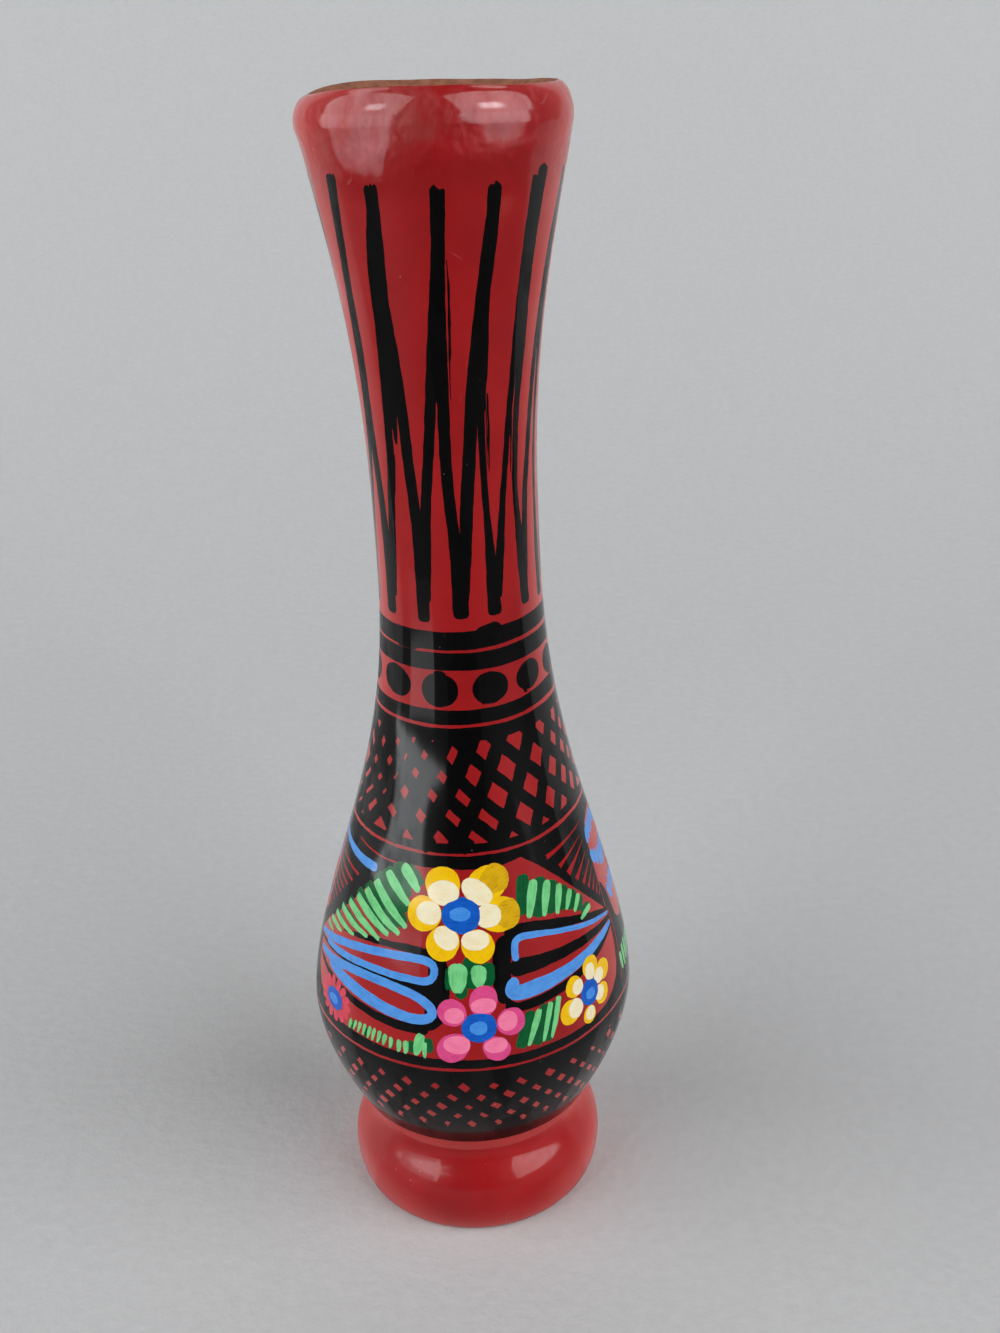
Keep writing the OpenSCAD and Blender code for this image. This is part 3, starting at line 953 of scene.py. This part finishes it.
# Path and widths in mm of the black strokes, of the outlines and of one line in the corner above them
WING_SHADES = (
    (((-84, 55.0), (-60, 56.6), (-40, 57.0), (-17, 56.8)), (0.5, 0.9, 1.2, 2.6)),
    (((-21, 63.4), (-15.8, 62.3), (-14.2, 60), (-14.2, 56), (-15, 52.5), (-19, 49.9)),
     (1.4, 3.2, 4.2, 4.4, 4.0, 2.2)),
    (((-62, 61.2), (-45, 62.7), (-30, 63.3), (-20, 63.2)), (0.4, 1.1, 1.2, 1.6)),
    (((-17, 49.7), (-30, 49.7), (-45, 50.4), (-60, 51.3), (-79, 52.6)), (2.0, 1.7, 1.5, 1.3, 0.6)),
    (((12, 65.8), (9.6, 62.5), (9, 58.5), (10, 54.2)), (2.8, 3.4, 3.4, 2.6)),
    (((11, 65.6), (17, 66.2), (26, 65.8), (40, 64.5), (55, 62.5), (67, 60.9)),
     (2.4, 2.2, 1.9, 1.5, 1.2, 0.6)),
    (((12, 60), (30, 60), (45, 59.9), (66, 59.5)), (3.4, 2.3, 1.7, 0.9)),
    (((10, 54.4), (14, 53.2), (25, 53.6), (40, 54.9), (55, 56.6), (66, 58.2)),
     (1.8, 1.8, 1.7, 1.5, 1.2, 0.7)),
)
WINGS = (
    (((-84, 55.8), (-70, 57.8), (-55, 59.8), (-40, 61.2), (-28, 61.8), (-20, 61.85), (-16.2, 61),
      (-16, 59.4), (-18.6, 58.3), (-28, 58.2), (-42, 58.1), (-56, 57.4), (-74, 56.2)),
     (0.9, 1.4, 1.5, 1.5, 1.5, 1.5, 1.5, 1.4, 1.35, 1.3, 1.3, 1.3, 0.9)),
    (((-79, 53.6), (-66, 54.6), (-52, 55.9), (-40, 56.4), (-30, 56.2), (-22, 55.4), (-17, 54), (-16, 52.6),
      (-18.5, 51.6), (-24, 51.4), (-32, 51.8), (-42, 52.5), (-54, 53.2), (-68, 53.7)),
     (1.0, 1.6, 1.65, 1.65, 1.65, 1.65, 1.7, 1.8, 1.9, 2.1, 2.3, 2.4, 2.2, 1.4)),
    (((14.8, 61.1), (14.6, 63.4), (16, 64.7), (19.5, 65), (27, 64.5), (38, 63.4), (50, 62), (60, 61),
      (66.5, 60.3)),
     (1.2, 1.3, 1.2, 1.0, 0.95, 0.95, 0.9, 0.75, 0.4)),
    (((15.2, 57.6), (13, 57.3), (12.4, 56.1), (15.5, 55.7), (22, 55.9), (32, 56.4), (45, 57.2), (56, 58),
      (66, 58.6)),
     (2.2, 2.7, 2.9, 2.5, 2.2, 2.0, 1.8, 1.5, 0.7)),
)
CORNER_LINE = ((((-92, 75.6), (-75, 75), (-60, 74.6), (-48, 74.6)), (0.8, 1.3, 1.6, 1.8)),)
shades = on_both(rng, WING_SHADES, steps=60, rough=0.1)
painted("wing_shades", black, shades, SECOND_LIFT)
sky = brushed_paint("sky_blue_brushed", srgb(62, 122, 205), srgb(88, 158, 235), 0.6, 0.2)
wings = on_both(rng, WINGS, steps=120, rough=0.07)
wings += on_both(rng, CORNER_LINE, steps=40, rough=0.08)
painted("wing_outlines", sky, wings, WING_LIFT)

# Leaves
# Sprays of short strokes between the flowers: dark green first, then a light green stroke beside each.
# Every stroke is pressed at its outer end and drawn off thin towards the middle.
DARK_LEAF_LIFT = 0.024
LIGHT_LEAF_LIFT = 0.036
# Shares of a stroke's width from its outer end to its inner end
DARK_WIDTHS = (0.9, 1.0, 1.0, 0.75)
LIGHT_WIDTHS = (0.85, 1.0, 0.85, 0.45)
rng = np.random.default_rng(73)
# Outer end, inner end and width in mm of each stroke
DARK_LEAVES = (
    ((-37, 77.2), (-29.5, 71.5), 3.0), ((-31, 77.2), (-23, 74), 2.0), ((-43, 75.6), (-29, 69), 3.2),
    ((-48, 74), (-29, 66.8), 3.2), ((-53, 71.6), (-33, 65.6), 2.8), ((-58, 69.6), (-38, 64.8), 2.2),
    ((-63, 67.2), (-44, 63.8), 1.5), ((-67.5, 65), (-50, 63), 1.1), ((-71.5, 63.2), (-58, 61.9), 0.9),
    ((21.8, 75.3), (19.6, 68.3), 2.6), ((29.8, 74), (25.6, 67.2), 3.2), ((35.8, 72.6), (31.8, 67), 3.0),
    ((40.8, 71), (37.2, 66.7), 2.8), ((45.4, 69.4), (42, 66), 2.6), ((49.6, 67.6), (46, 65), 2.2),
    ((54, 65.2), (47.5, 64.6), 1.8), ((-1.8, 63), (-2.2, 57.2), 3.4), ((4.2, 61.8), (3.6, 57.5), 2.6),
    ((-10, 61), (-10.3, 57), 1.6), ((-5, 58), (-6.5, 55.6), 2.2), ((14, 45.4), (18.8, 52.2), 2.4),
    ((19.8, 45.2), (24.4, 52.6), 2.3), ((24, 45.3), (28, 52.6), 1.8), ((-17.2, 48.4), (-16.8, 45.4), 1.8),
    ((-23, 47.4), (-23.2, 44.8), 1.0), ((-47, 47), (-49, 44.9), 0.9), ((-41, 47), (-42, 44.9), 0.8),
    ((-35, 47.2), (-36, 45), 0.8), ((-30, 46.8), (-31, 44.8), 0.8),
)
LIGHT_LEAVES = (
    ((-34, 77), (-24.2, 72.9), 2.2), ((-42, 75.2), (-28, 70.3), 2.0), ((-48, 72.8), (-28.3, 66.6), 2.0),
    ((-53, 70.6), (-31, 65.2), 1.9), ((-58, 68.6), (-36, 64.5), 1.8), ((-63, 66.6), (-40, 63.2), 1.6),
    ((-68, 64.6), (-46, 62.7), 1.4), ((-72, 62.6), (-54, 61.6), 1.2), ((-75.5, 60.6), (-63, 60.4), 1.1),
    ((-78.5, 59), (-70, 58.9), 0.8), ((26.6, 73.9), (21.8, 67.6), 2.0), ((33.2, 73), (28.6, 67), 1.8),
    ((39, 71.5), (35, 66.5), 1.6), ((44.5, 69.6), (40, 66.4), 1.4), ((49, 68), (44, 65.3), 1.2),
    ((54.5, 64.6), (46.5, 63.5), 1.2), ((-7, 61.9), (-7, 56.5), 3.7), ((0.6, 61.5), (0.6, 57.5), 3.0),
    ((22, 52), (17, 45.5), 1.4), ((26.6, 52.6), (22.5, 45.5), 1.2), ((30, 53), (25.6, 45.6), 1.2),
    ((-19.5, 49), (-21.5, 44.5), 1.9), ((-18.3, 47.6), (-18.2, 44.2), 0.9),
    ((-25, 47.2), (-25.2, 44.4), 1.2), ((-27.5, 47), (-28, 44.4), 1.0), ((-30.5, 47), (-31.2, 44.6), 0.9),
    ((-33, 47.2), (-34, 44.8), 0.9), ((-35.3, 47.5), (-36.5, 44.8), 0.9),
    ((-37.5, 47.6), (-38.8, 44.8), 0.8), ((-39.6, 47.6), (-41, 44.9), 0.8), ((-42, 47.5), (-43.3, 45), 0.8),
    ((-44.2, 47.4), (-45.6, 45), 0.8), ((-46.5, 47.2), (-47.8, 45), 0.7), ((-49, 47), (-50.2, 44.8), 0.8),
)
dark_green = brushed_paint("dark_green_brushed", srgb(6, 62, 34), srgb(10, 92, 48), 0.6, 0.2)
light_green = brushed_paint("light_green_brushed", srgb(70, 170, 95), srgb(126, 216, 142), 0.6, 0.2)


def leaf_strokes(rng, leaves, ends):
    """Leaf strokes from a blunt outer end to a thin inner end, bowed a little, on both panels."""
    marks = ((bowed(outer, inner, rng.uniform(-0.25, 0.25)), [width * e for e in ends])
             for outer, inner, width in leaves)
    return on_both(rng, marks, steps=26, rough=0.09, ragged=(0.3, 0.3), blunt=2.6)


dark_strokes = leaf_strokes(rng, DARK_LEAVES, DARK_WIDTHS)
light_strokes = leaf_strokes(rng, LIGHT_LEAVES, LIGHT_WIDTHS)
painted("dark_leaves", dark_green, dark_strokes, DARK_LEAF_LIFT)
painted("light_leaves", light_green, light_strokes, LIGHT_LEAF_LIFT)

# Flowers
# Round petals, each dabbed with a full brush and then touched with a paler dab on the side of the middle.
# The middles are blue with a light blue heart.
PETAL_LIFT = 0.042
WASH_LIFT = 0.047
PALE_LIFT = 0.053
MIDDLE_LIFT = 0.06
HEART_LIFT = 0.066
rng = np.random.default_rng(79)
# Angle, height, length, width and turn of each dab
YELLOW_PETALS = (
    (-14, 74.6, 6.2, 6.1, 100), (4.6, 74.5, 7.6, 6.2, 30), (9.7, 69.4, 6.9, 6.0, 0),
    (0.6, 64.5, 6.0, 5.5, -50), (-13, 65, 6.2, 5.7, -120), (-21.3, 69.6, 6.2, 6.0, 180),
    (46.3, 54.8, 4.0, 4.2, 90), (52.6, 52.6, 4.4, 3.8, 10), (50.6, 48.6, 3.8, 4.0, -30),
    (42.8, 46.4, 3.4, 3.2, -90), (34.2, 48.9, 4.6, 4.6, 180), (37, 53.1, 3.8, 4.0, 150),
)
MUSTARD = ((8.2, 75.3, 5.4, 5.2, 35), (13, 69.3, 4.6, 5.3, 0))
CREAM_DABS = (
    (-13.6, 73.4, 5.5, 4.4, 0), (0.9, 73.6, 5.9, 4.0, -38), (5.2, 69.4, 4.5, 4.3, 0),
    (-0.3, 65.5, 4.8, 3.7, 0), (-11.8, 65.9, 4.6, 4.0, -35), (-19.5, 69.8, 4.5, 4.3, 0),
    (45.6, 54, 3.2, 2.8, 90), (50, 52.2, 3.0, 2.8, 20), (49, 49.1, 2.8, 3.0, -30),
    (43.2, 46.6, 2.7, 2.6, -90), (36.6, 49.1, 3.4, 3.8, 180), (38.6, 52.7, 2.6, 3.0, 150),
)
BLUE_MIDDLES = (
    (-6, 69.7, 6.7, 6.2, 0), (0.3, 50.5, 6.1, 5.6, 0), (44, 50.5, 4.6, 5.0, 0), (-60.5, 48.1, 5.6, 3.9, 0),
)
BLUE_HEARTS = (
    (-6.3, 69.9, 3.7, 2.7, 0), (0.1, 50.4, 3.1, 2.9, 0), (44.2, 50.2, 2.4, 2.4, 0), (-60.8, 48, 3.2, 2.0, 0),
)
PINK_PETALS = (
    (2, 55.1, 5.6, 4.9, 80), (11.3, 50.9, 5.0, 5.2, 10), (6, 46.3, 5.2, 4.4, -40),
    (-8.4, 46.8, 6.2, 5.2, -140), (-9, 53.2, 5.2, 4.8, 150),
)
PINK_LIGHTS = (
    (2, 54.3, 4.4, 3.0, 0), (10.2, 51.1, 3.4, 3.9, 0), (5.8, 46.9, 4.1, 3.1, 0), (-7.3, 47.4, 4.7, 3.8, 0),
    (-8.2, 52.7, 3.5, 3.1, 0),
)
# The small flower at the left end is a ring of short pink touches round its blue middle
RING = np.radians(25.7) * np.arange(14)
SMALL_PINK = tuple((-60.5 + 8.3 * np.cos(a), 48.1 + 3.1 * np.sin(a), 2.2, 1.5, np.degrees(a)) for a in RING)


def dabs(rng, places, rough=0.10):
    """Oval dabs at the given places, on both panels."""
    made = []
    for phi, z, length, width, turn in places:
        for ((at_phi, at_z),) in both_panels(rng, [(phi, z)]):
            made.append(dab(rng, at_phi, at_z, length, width, turn, rough, steps=26, taper=0.06))
    return made


yellow = brushed_paint("yellow_brushed", srgb(226, 150, 10), srgb(250, 202, 12), 0.45, 0.2)
mustard = brushed_paint("mustard_brushed", srgb(186, 138, 14), srgb(226, 178, 20), 0.8, 0.2)
cream = brushed_paint("cream_brushed", srgb(240, 214, 140), srgb(250, 240, 206), 0.5, 0.15)
blue = brushed_paint("blue_brushed", srgb(14, 62, 150), srgb(22, 96, 202), 0.6, 0.2)
heart = brushed_paint("light_blue_brushed", srgb(34, 108, 210), srgb(74, 150, 232), 0.5, 0.2)
pink = brushed_paint("pink_brushed", srgb(200, 50, 112), srgb(228, 80, 142), 0.6, 0.2)
rose = brushed_paint("rose_brushed", srgb(196, 44, 62), srgb(226, 72, 96), 0.7, 0.2)
light_pink = brushed_paint("light_pink_brushed", srgb(238, 100, 150), srgb(252, 134, 172), 0.6, 0.2)
painted("yellow_petals", yellow, dabs(rng, YELLOW_PETALS), PETAL_LIFT)
painted("mustard_wash", mustard, dabs(rng, MUSTARD, 0.2), WASH_LIFT)
painted("cream_dabs", cream, dabs(rng, CREAM_DABS), PALE_LIFT)
painted("pink_petals", pink, dabs(rng, PINK_PETALS, 0.12), PETAL_LIFT)
painted("small_petals", rose, dabs(rng, SMALL_PINK, 0.14), PETAL_LIFT)
painted("light_pink_dabs", light_pink, dabs(rng, PINK_LIGHTS), PALE_LIFT)
painted("blue_middles", blue, dabs(rng, BLUE_MIDDLES, 0.08), MIDDLE_LIFT)
painted("blue_hearts", heart, dabs(rng, BLUE_HEARTS, 0.16), HEART_LIFT)

# Side panels
# Narrow upright panels between the two large ones, each with a striped sky blue flower over a green sprig.
# Only an edge of one of them is seen, so the rest is carried on in the same hand.
SPRIG_WIDTHS = (0.7, 1.0, 0.9, 0.5)
rng = np.random.default_rng(83)
# Three points and the width in mm of each blue stroke, then both ends and the width of each leaf
SIDE_BLUE = (
    ((66.8, 73.4), (67.5, 75), (69, 76.4), 1.3), ((69.8, 73.8), (70.6, 75.4), (72, 77), 1.3),
    ((73.2, 74.2), (74, 75.8), (75, 77.4), 1.3), ((76.8, 74.2), (77.4, 75.8), (78.2, 77.4), 1.3),
    ((81, 74.4), (81, 76), (81, 77.6), 1.3), ((85, 74), (84.8, 75.6), (84.4, 77.2), 1.3),
    ((89, 73.4), (88.4, 75), (87.6, 76.6), 1.3), ((66.6, 72.4), (67.2, 71), (68.6, 69.4), 1.5),
    ((69.6, 71.8), (70.6, 70.2), (72, 68.4), 1.5), ((73, 71.4), (74.2, 69.6), (75.6, 67.4), 1.5),
    ((76.8, 71.2), (78, 69.2), (79.2, 66.8), 1.5), ((81, 71.2), (81.4, 69.2), (82, 67), 1.5),
    ((85, 71.4), (84.8, 69.4), (84.4, 67.4), 1.5), ((88.6, 71.8), (88, 70), (87.2, 68), 1.5),
    ((73, 64.2), (74.4, 62.4), (76.4, 60.6), 1.7), ((77.4, 64.8), (78.4, 63), (79.6, 61.2), 1.7),
    ((82.6, 65), (82.4, 63.2), (82.2, 61.4), 1.6), ((87.4, 64.6), (86.4, 63), (85.2, 61.4), 1.6),
    ((90.6, 63.4), (89.2, 62), (87.6, 60.8), 1.5),
)
SIDE_GREEN = (
    ((68.4, 51.6), (69.6, 47.6), 1.4), ((72, 52.2), (72.8, 47.4), 1.3), ((75.6, 52.4), (76, 47.6), 1.4),
    ((79.4, 52.2), (79.2, 47.4), 1.3), ((83, 52.2), (82.4, 47.6), 1.4), ((86.6, 51.8), (85.6, 47.4), 1.3),
    ((90.2, 51.2), (88.8, 47.6), 1.3),
)
side_marks = [(path, (0.8 * w, w, 0.7 * w)) for *path, w in SIDE_BLUE]
side_strokes = on_both(rng, side_marks, steps=26, rough=0.09, ragged=(0.3, 0.3))
sprig_strokes = leaf_strokes(rng, SIDE_GREEN, SPRIG_WIDTHS)
painted("side_flower", sky, side_strokes, WING_LIFT)
painted("side_sprig", light_green, sprig_strokes, WING_LIFT)

# Floor and backdrop
# A wide sheet of pale grey paper that lies under the vase and sweeps up behind it in one soft bend.
# It is matt, with the fine tooth of its fibres.
PAPER_BEND = 1.0
PAPER_BACK = 0.25


def quads(shape):
    """The four corners of every cell in a grid of points with this many rows and columns."""
    index = np.arange(shape[0] * shape[1]).reshape(shape)
    corners = [index[:-1, :-1], index[:-1, 1:], index[1:, 1:], index[1:, :-1]]
    return np.stack(corners, -1).reshape(-1, 4).tolist()


bend = np.linspace(0.0, np.pi / 2.0, 40)[1:]
flat_y = np.linspace(-1.3, PAPER_BACK, 30)
wall_z = np.linspace(1.1, 2.2, 6)
bend_y = PAPER_BACK + PAPER_BEND * np.sin(bend)
bend_z = PAPER_BEND * (1.0 - np.cos(bend))
sweep_y = np.concatenate([flat_y, bend_y, np.full(len(wall_z), bend_y[-1])])
sweep_z = np.concatenate([np.zeros(len(flat_y)), bend_z, wall_z])
grid_x, grid_y = np.meshgrid(np.linspace(-1.5, 1.5, 12), sweep_y)
sheet = np.stack([grid_x, grid_y, np.broadcast_to(sweep_z[:, None], grid_x.shape)], -1).reshape(-1, 3)
paper, paper_tree, paper_inputs = new_material("grey_paper", {"Roughness": 0.95, "Specular IOR Level": 0.2})
fibre = noise(paper_tree, node(paper_tree, "ShaderNodeTexCoord").outputs["Object"], 380.0, 4.0, 0.6)
paper_tone = colour_mix(paper_tree, fibre, srgb(197, 198, 199), srgb(211, 212, 213))
paper_tree.links.new(paper_tone, paper_inputs["Base Color"])
relief(paper_tree, paper_inputs, fibre, 0.3, 0.0008)
floor = new_object("paper_sweep", sheet, quads(grid_x.shape), paper)

# Light
# Two wide soft windows, left and right of the camera, light the vase and the paper in a dim grey room.
# What the gloss mirrors is set apart: pale panels and cards at both sides, and dark cards before the vase.
ROOM_LIGHT = (0.0744, 0.0756, 0.078, 1.0)
ROOM_SEEN = (0.5, 0.505, 0.51, 1.0)
AIM = np.array([0.0, 0.0, 0.1])

world = bpy.data.worlds.new("grey_room")
bpy.context.scene.world = world
world.use_nodes = True
room = world.node_tree
seen = node(room, "ShaderNodeLightPath").outputs["Is Camera Ray"]
room.links.new(colour_mix(room, seen, ROOM_LIGHT, ROOM_SEEN), room.nodes["Background"].inputs["Color"])
room.nodes["Background"].inputs["Strength"].default_value = 1.0


def placed(name, data, side, up, back, at):
    """A lamp or camera at a point in metres, with its right, up and backward directions."""
    made = bpy.data.objects.new(name, data)
    stand = Matrix(np.column_stack([side, up, back]).tolist()).to_4x4()
    stand.translation = at.tolist()
    made.matrix_world = stand
    bpy.context.scene.collection.objects.link(made)
    return made


def window(name, azimuth, elevation, distance, width, height, radiance, mirrored):
    """A rectangular lamp that faces the vase's middle from the given direction, in degrees and metres.
    Its power is its radiance times pi times its area.
    A mirrored lamp shows in the gloss alone, the others never."""
    a, e = np.radians(azimuth), np.radians(elevation)
    back = np.array([np.sin(a) * np.cos(e), -np.cos(a) * np.cos(e), np.sin(e)])
    side = np.array([np.cos(a), np.sin(a), 0.0])
    data = bpy.data.lights.new(name, "AREA")
    data.shape = "RECTANGLE"
    data.size, data.size_y = width, height
    data.energy = radiance * np.pi * width * height
    lamp = placed(name, data, side, np.cross(back, side), back, back * distance + AIM)
    lamp.visible_camera = False
    lamp.visible_diffuse = not mirrored
    lamp.visible_glossy = mirrored


# Azimuth, elevation, distance, width, height and radiance, and whether the gloss alone sees it
window("left_window", -70.0, 24.0, 3.0, 3.75, 2.44, 2.75, False)
window("right_window", 56.0, 30.0, 3.0, 3.2, 2.44, 3.1, False)
window("left_panel", -66.0, 31.7, 1.4, 1.62, 1.64, 4.4, True)
window("right_panel", 55.0, 31.7, 1.4, 1.43, 1.64, 4.8, True)


def staged(name, points, faces, material):
    """A thing of the studio that only the gloss sees: no camera, no soft light and no shadow."""
    made = new_object(name, points, faces, material)
    made.visible_camera = False
    made.visible_diffuse = False
    made.visible_shadow = False
    return made.data


def bowed_card(name, radius, angles, lows, highs, material):
    """A card bowed round the vase at a radius in metres, both edges cut through the given heights.
    Its points keep how far they lie inside its border, how high they are on it and how near its middle."""
    across, upward = np.meshgrid(np.linspace(0.0, 1.0, 60), np.linspace(0.0, 1.0, 24))
    turn = angles[0] + (angles[-1] - angles[0]) * across
    low, high = np.interp(turn, angles, lows), np.interp(turn, angles, highs)
    x, y = radius * np.sin(np.radians(turn)), -radius * np.cos(np.radians(turn))
    points = np.stack([x, y, low + (high - low) * upward], -1).reshape(-1, 3)
    card = staged(name, points, quads(across.shape), material)
    marks = {
        "inset": np.minimum(1.0, np.minimum(8.0 * np.minimum(across, 1.0 - across), 5.0 * upward)),
        "upward": upward,
        "middle": 16.0 * across * (1.0 - across) * upward * (1.0 - upward),
    }
    for mark, value in marks.items():
        card.attributes.new(mark, "FLOAT", "POINT").data.foreach_set("value", value.ravel())


BLACK = (0.0, 0.0, 0.0, 1.0)
CARD_WHITE = (0.96, 0.98, 1.0, 1.0)
CARD_FOOT = (0.42, 0.43, 0.44, 1.0)
CARD_RIM = (0.02, 0.02, 0.02, 1.0)


def card_glow(name, strength, border="plain"):
    """A card's own pale light. A ragged border is torn and the card dims towards its foot.
    A soft one fades out from the card's middle."""
    made, tree, inputs = new_material(name, {
        "Base Color": BLACK, "Specular IOR Level": 0.0,
        "Emission Color": CARD_WHITE, "Emission Strength": strength})
    if border == "ragged":
        coords = node(tree, "ShaderNodeTexCoord").outputs["Object"]
        inset = node(tree, "ShaderNodeAttribute", attribute_name="inset").outputs["Fac"]
        upward = node(tree, "ShaderNodeAttribute", attribute_name="upward").outputs["Fac"]
        frayed = math(tree, "ADD", inset, math(tree, "MULTIPLY", noise(tree, coords, 26.0, 5.0, 0.7), 2.2))
        shade = colour_mix(tree, ramp(tree, upward, 0.0, 0.8), CARD_FOOT, CARD_WHITE)
        edged = colour_mix(tree, ramp(tree, frayed, 1.35, 1.95), CARD_RIM, shade)
        tree.links.new(edged, inputs["Emission Color"])
    elif border == "soft":
        middle = node(tree, "ShaderNodeAttribute", attribute_name="middle").outputs["Fac"]
        tree.links.new(ramp(tree, middle, 0.1, 0.95), inputs["Alpha"])
    return made


bright_glow = card_glow("shoulder_card_glow", 4.8)
dim_glow = card_glow("band_card_glow", 1.6)
torn_glow = card_glow("lip_card_glow", 6.0, "ragged")
pane_glow = card_glow("pane_glow", 22.0, "soft")
dark_glow = card_glow("flag_glow", 0.1)
bowed_card("shoulder_card", 0.3, (-95, -91, -85, -79, -76, -66, -57, -49, -41, -34, -26),
           (0.035, 0.038, 0.043, 0.047, 0.05, 0.056, 0.063, 0.068, 0.072, 0.076, 0.079),
           (0.036, 0.042, 0.052, 0.062, 0.07, 0.078, 0.084, 0.082, 0.079, 0.08, 0.08), bright_glow)
bowed_card("band_card", 0.3, (-74, -40), (0.026, 0.029), (0.047, 0.06), dim_glow)
bowed_card("left_lip_card", 0.215, (-99, -89, -66, -48, -43, -34), (0.21, 0.15, 0.117, 0.112, 0.116, 0.21),
           (0.24,) * 6, torn_glow)
bowed_card("right_lip_card", 0.215, (19, 31, 42, 70, 79), (0.228, 0.196, 0.17, 0.168, 0.2),
           (0.24,) * 5, torn_glow)
bowed_card("left_pane", 1.18, (-67, -47), (0.58, 0.58), (0.98, 0.98), pane_glow)
bowed_card("right_pane", 1.2, (42, 66), (0.55, 0.55), (0.93, 0.93), pane_glow)
# A black strip close to the neck keeps the low cards out of its gloss, and its faint glow paints a dim dark
# reflection there instead
bowed_card("neck_flag", 0.05, (-84, -56, -48, -39, -35, -14), (0.1135, 0.114, 0.1128, 0.1138, 0.113, 0.1132),
           (0.175, 0.175, 0.175, 0.175, 0.188, 0.188), dark_glow)

# Dark cards, one on the paper before the vase, fading in away from it, and one standing behind the camera.
# Only the gloss sees them: they paint a dark reflection of shade where the lit paper and room would show.
card_paint, card_tree, card_inputs = new_material("dark_reflection_card_paint", {"Roughness": 1.0})
card_place = node(card_tree, "ShaderNodeTexCoord").outputs["Object"]
away = node(card_tree, "ShaderNodeVectorMath", links={0: card_place}, operation="LENGTH").outputs["Value"]
# Painted reflection: paper grey in shade near the vase, darkening to near black away from it
reflected_shade_tone = colour_mix(card_tree, ramp(card_tree, away, 0.06, 0.24), srgb(150, 151, 152), srgb(24, 24, 26))
card_tree.links.new(reflected_shade_tone, card_inputs["Base Color"])
staged("dark_cards", np.array([
    (-1.2, -1.6, 0.0005), (1.2, -1.6, 0.0005), (1.2, -0.01, 0.0005), (-1.2, -0.01, 0.0005),
    (-0.2, -0.45, 0.001), (0.12, -0.45, 0.001), (0.12, -0.45, 0.8), (-0.2, -0.45, 0.8),
]), [(0, 1, 2, 3), (7, 6, 5, 4)], card_paint)

# Camera
# It stands close before the vase, level with the lip, and looks down at the photograph's angle.
# Everything is sharp, as from a small lens.
CAMERA_AT = np.array([-1.0, -239.4, 208.6]) * MM
PITCH, YAW, ROLL = np.radians([23.46, 1.99, -2.43])
SENSOR = 36.0
LENS = 40.64
forward = np.array([np.sin(YAW) * np.cos(PITCH), np.cos(YAW) * np.cos(PITCH), -np.sin(PITCH)])
level_right = np.array([np.cos(YAW), -np.sin(YAW), 0.0])
level_up = np.cross(level_right, forward)
right = np.cos(ROLL) * level_right + np.sin(ROLL) * level_up
up = np.cos(ROLL) * level_up - np.sin(ROLL) * level_right
camera_data = bpy.data.cameras.new("camera")
camera_data.sensor_width = SENSOR
camera_data.lens = LENS
camera_data.clip_start = 0.01
bpy.context.scene.camera = placed("camera", camera_data, right, up, -forward, CAMERA_AT)
bpy.context.scene.view_settings.view_transform = "Standard"
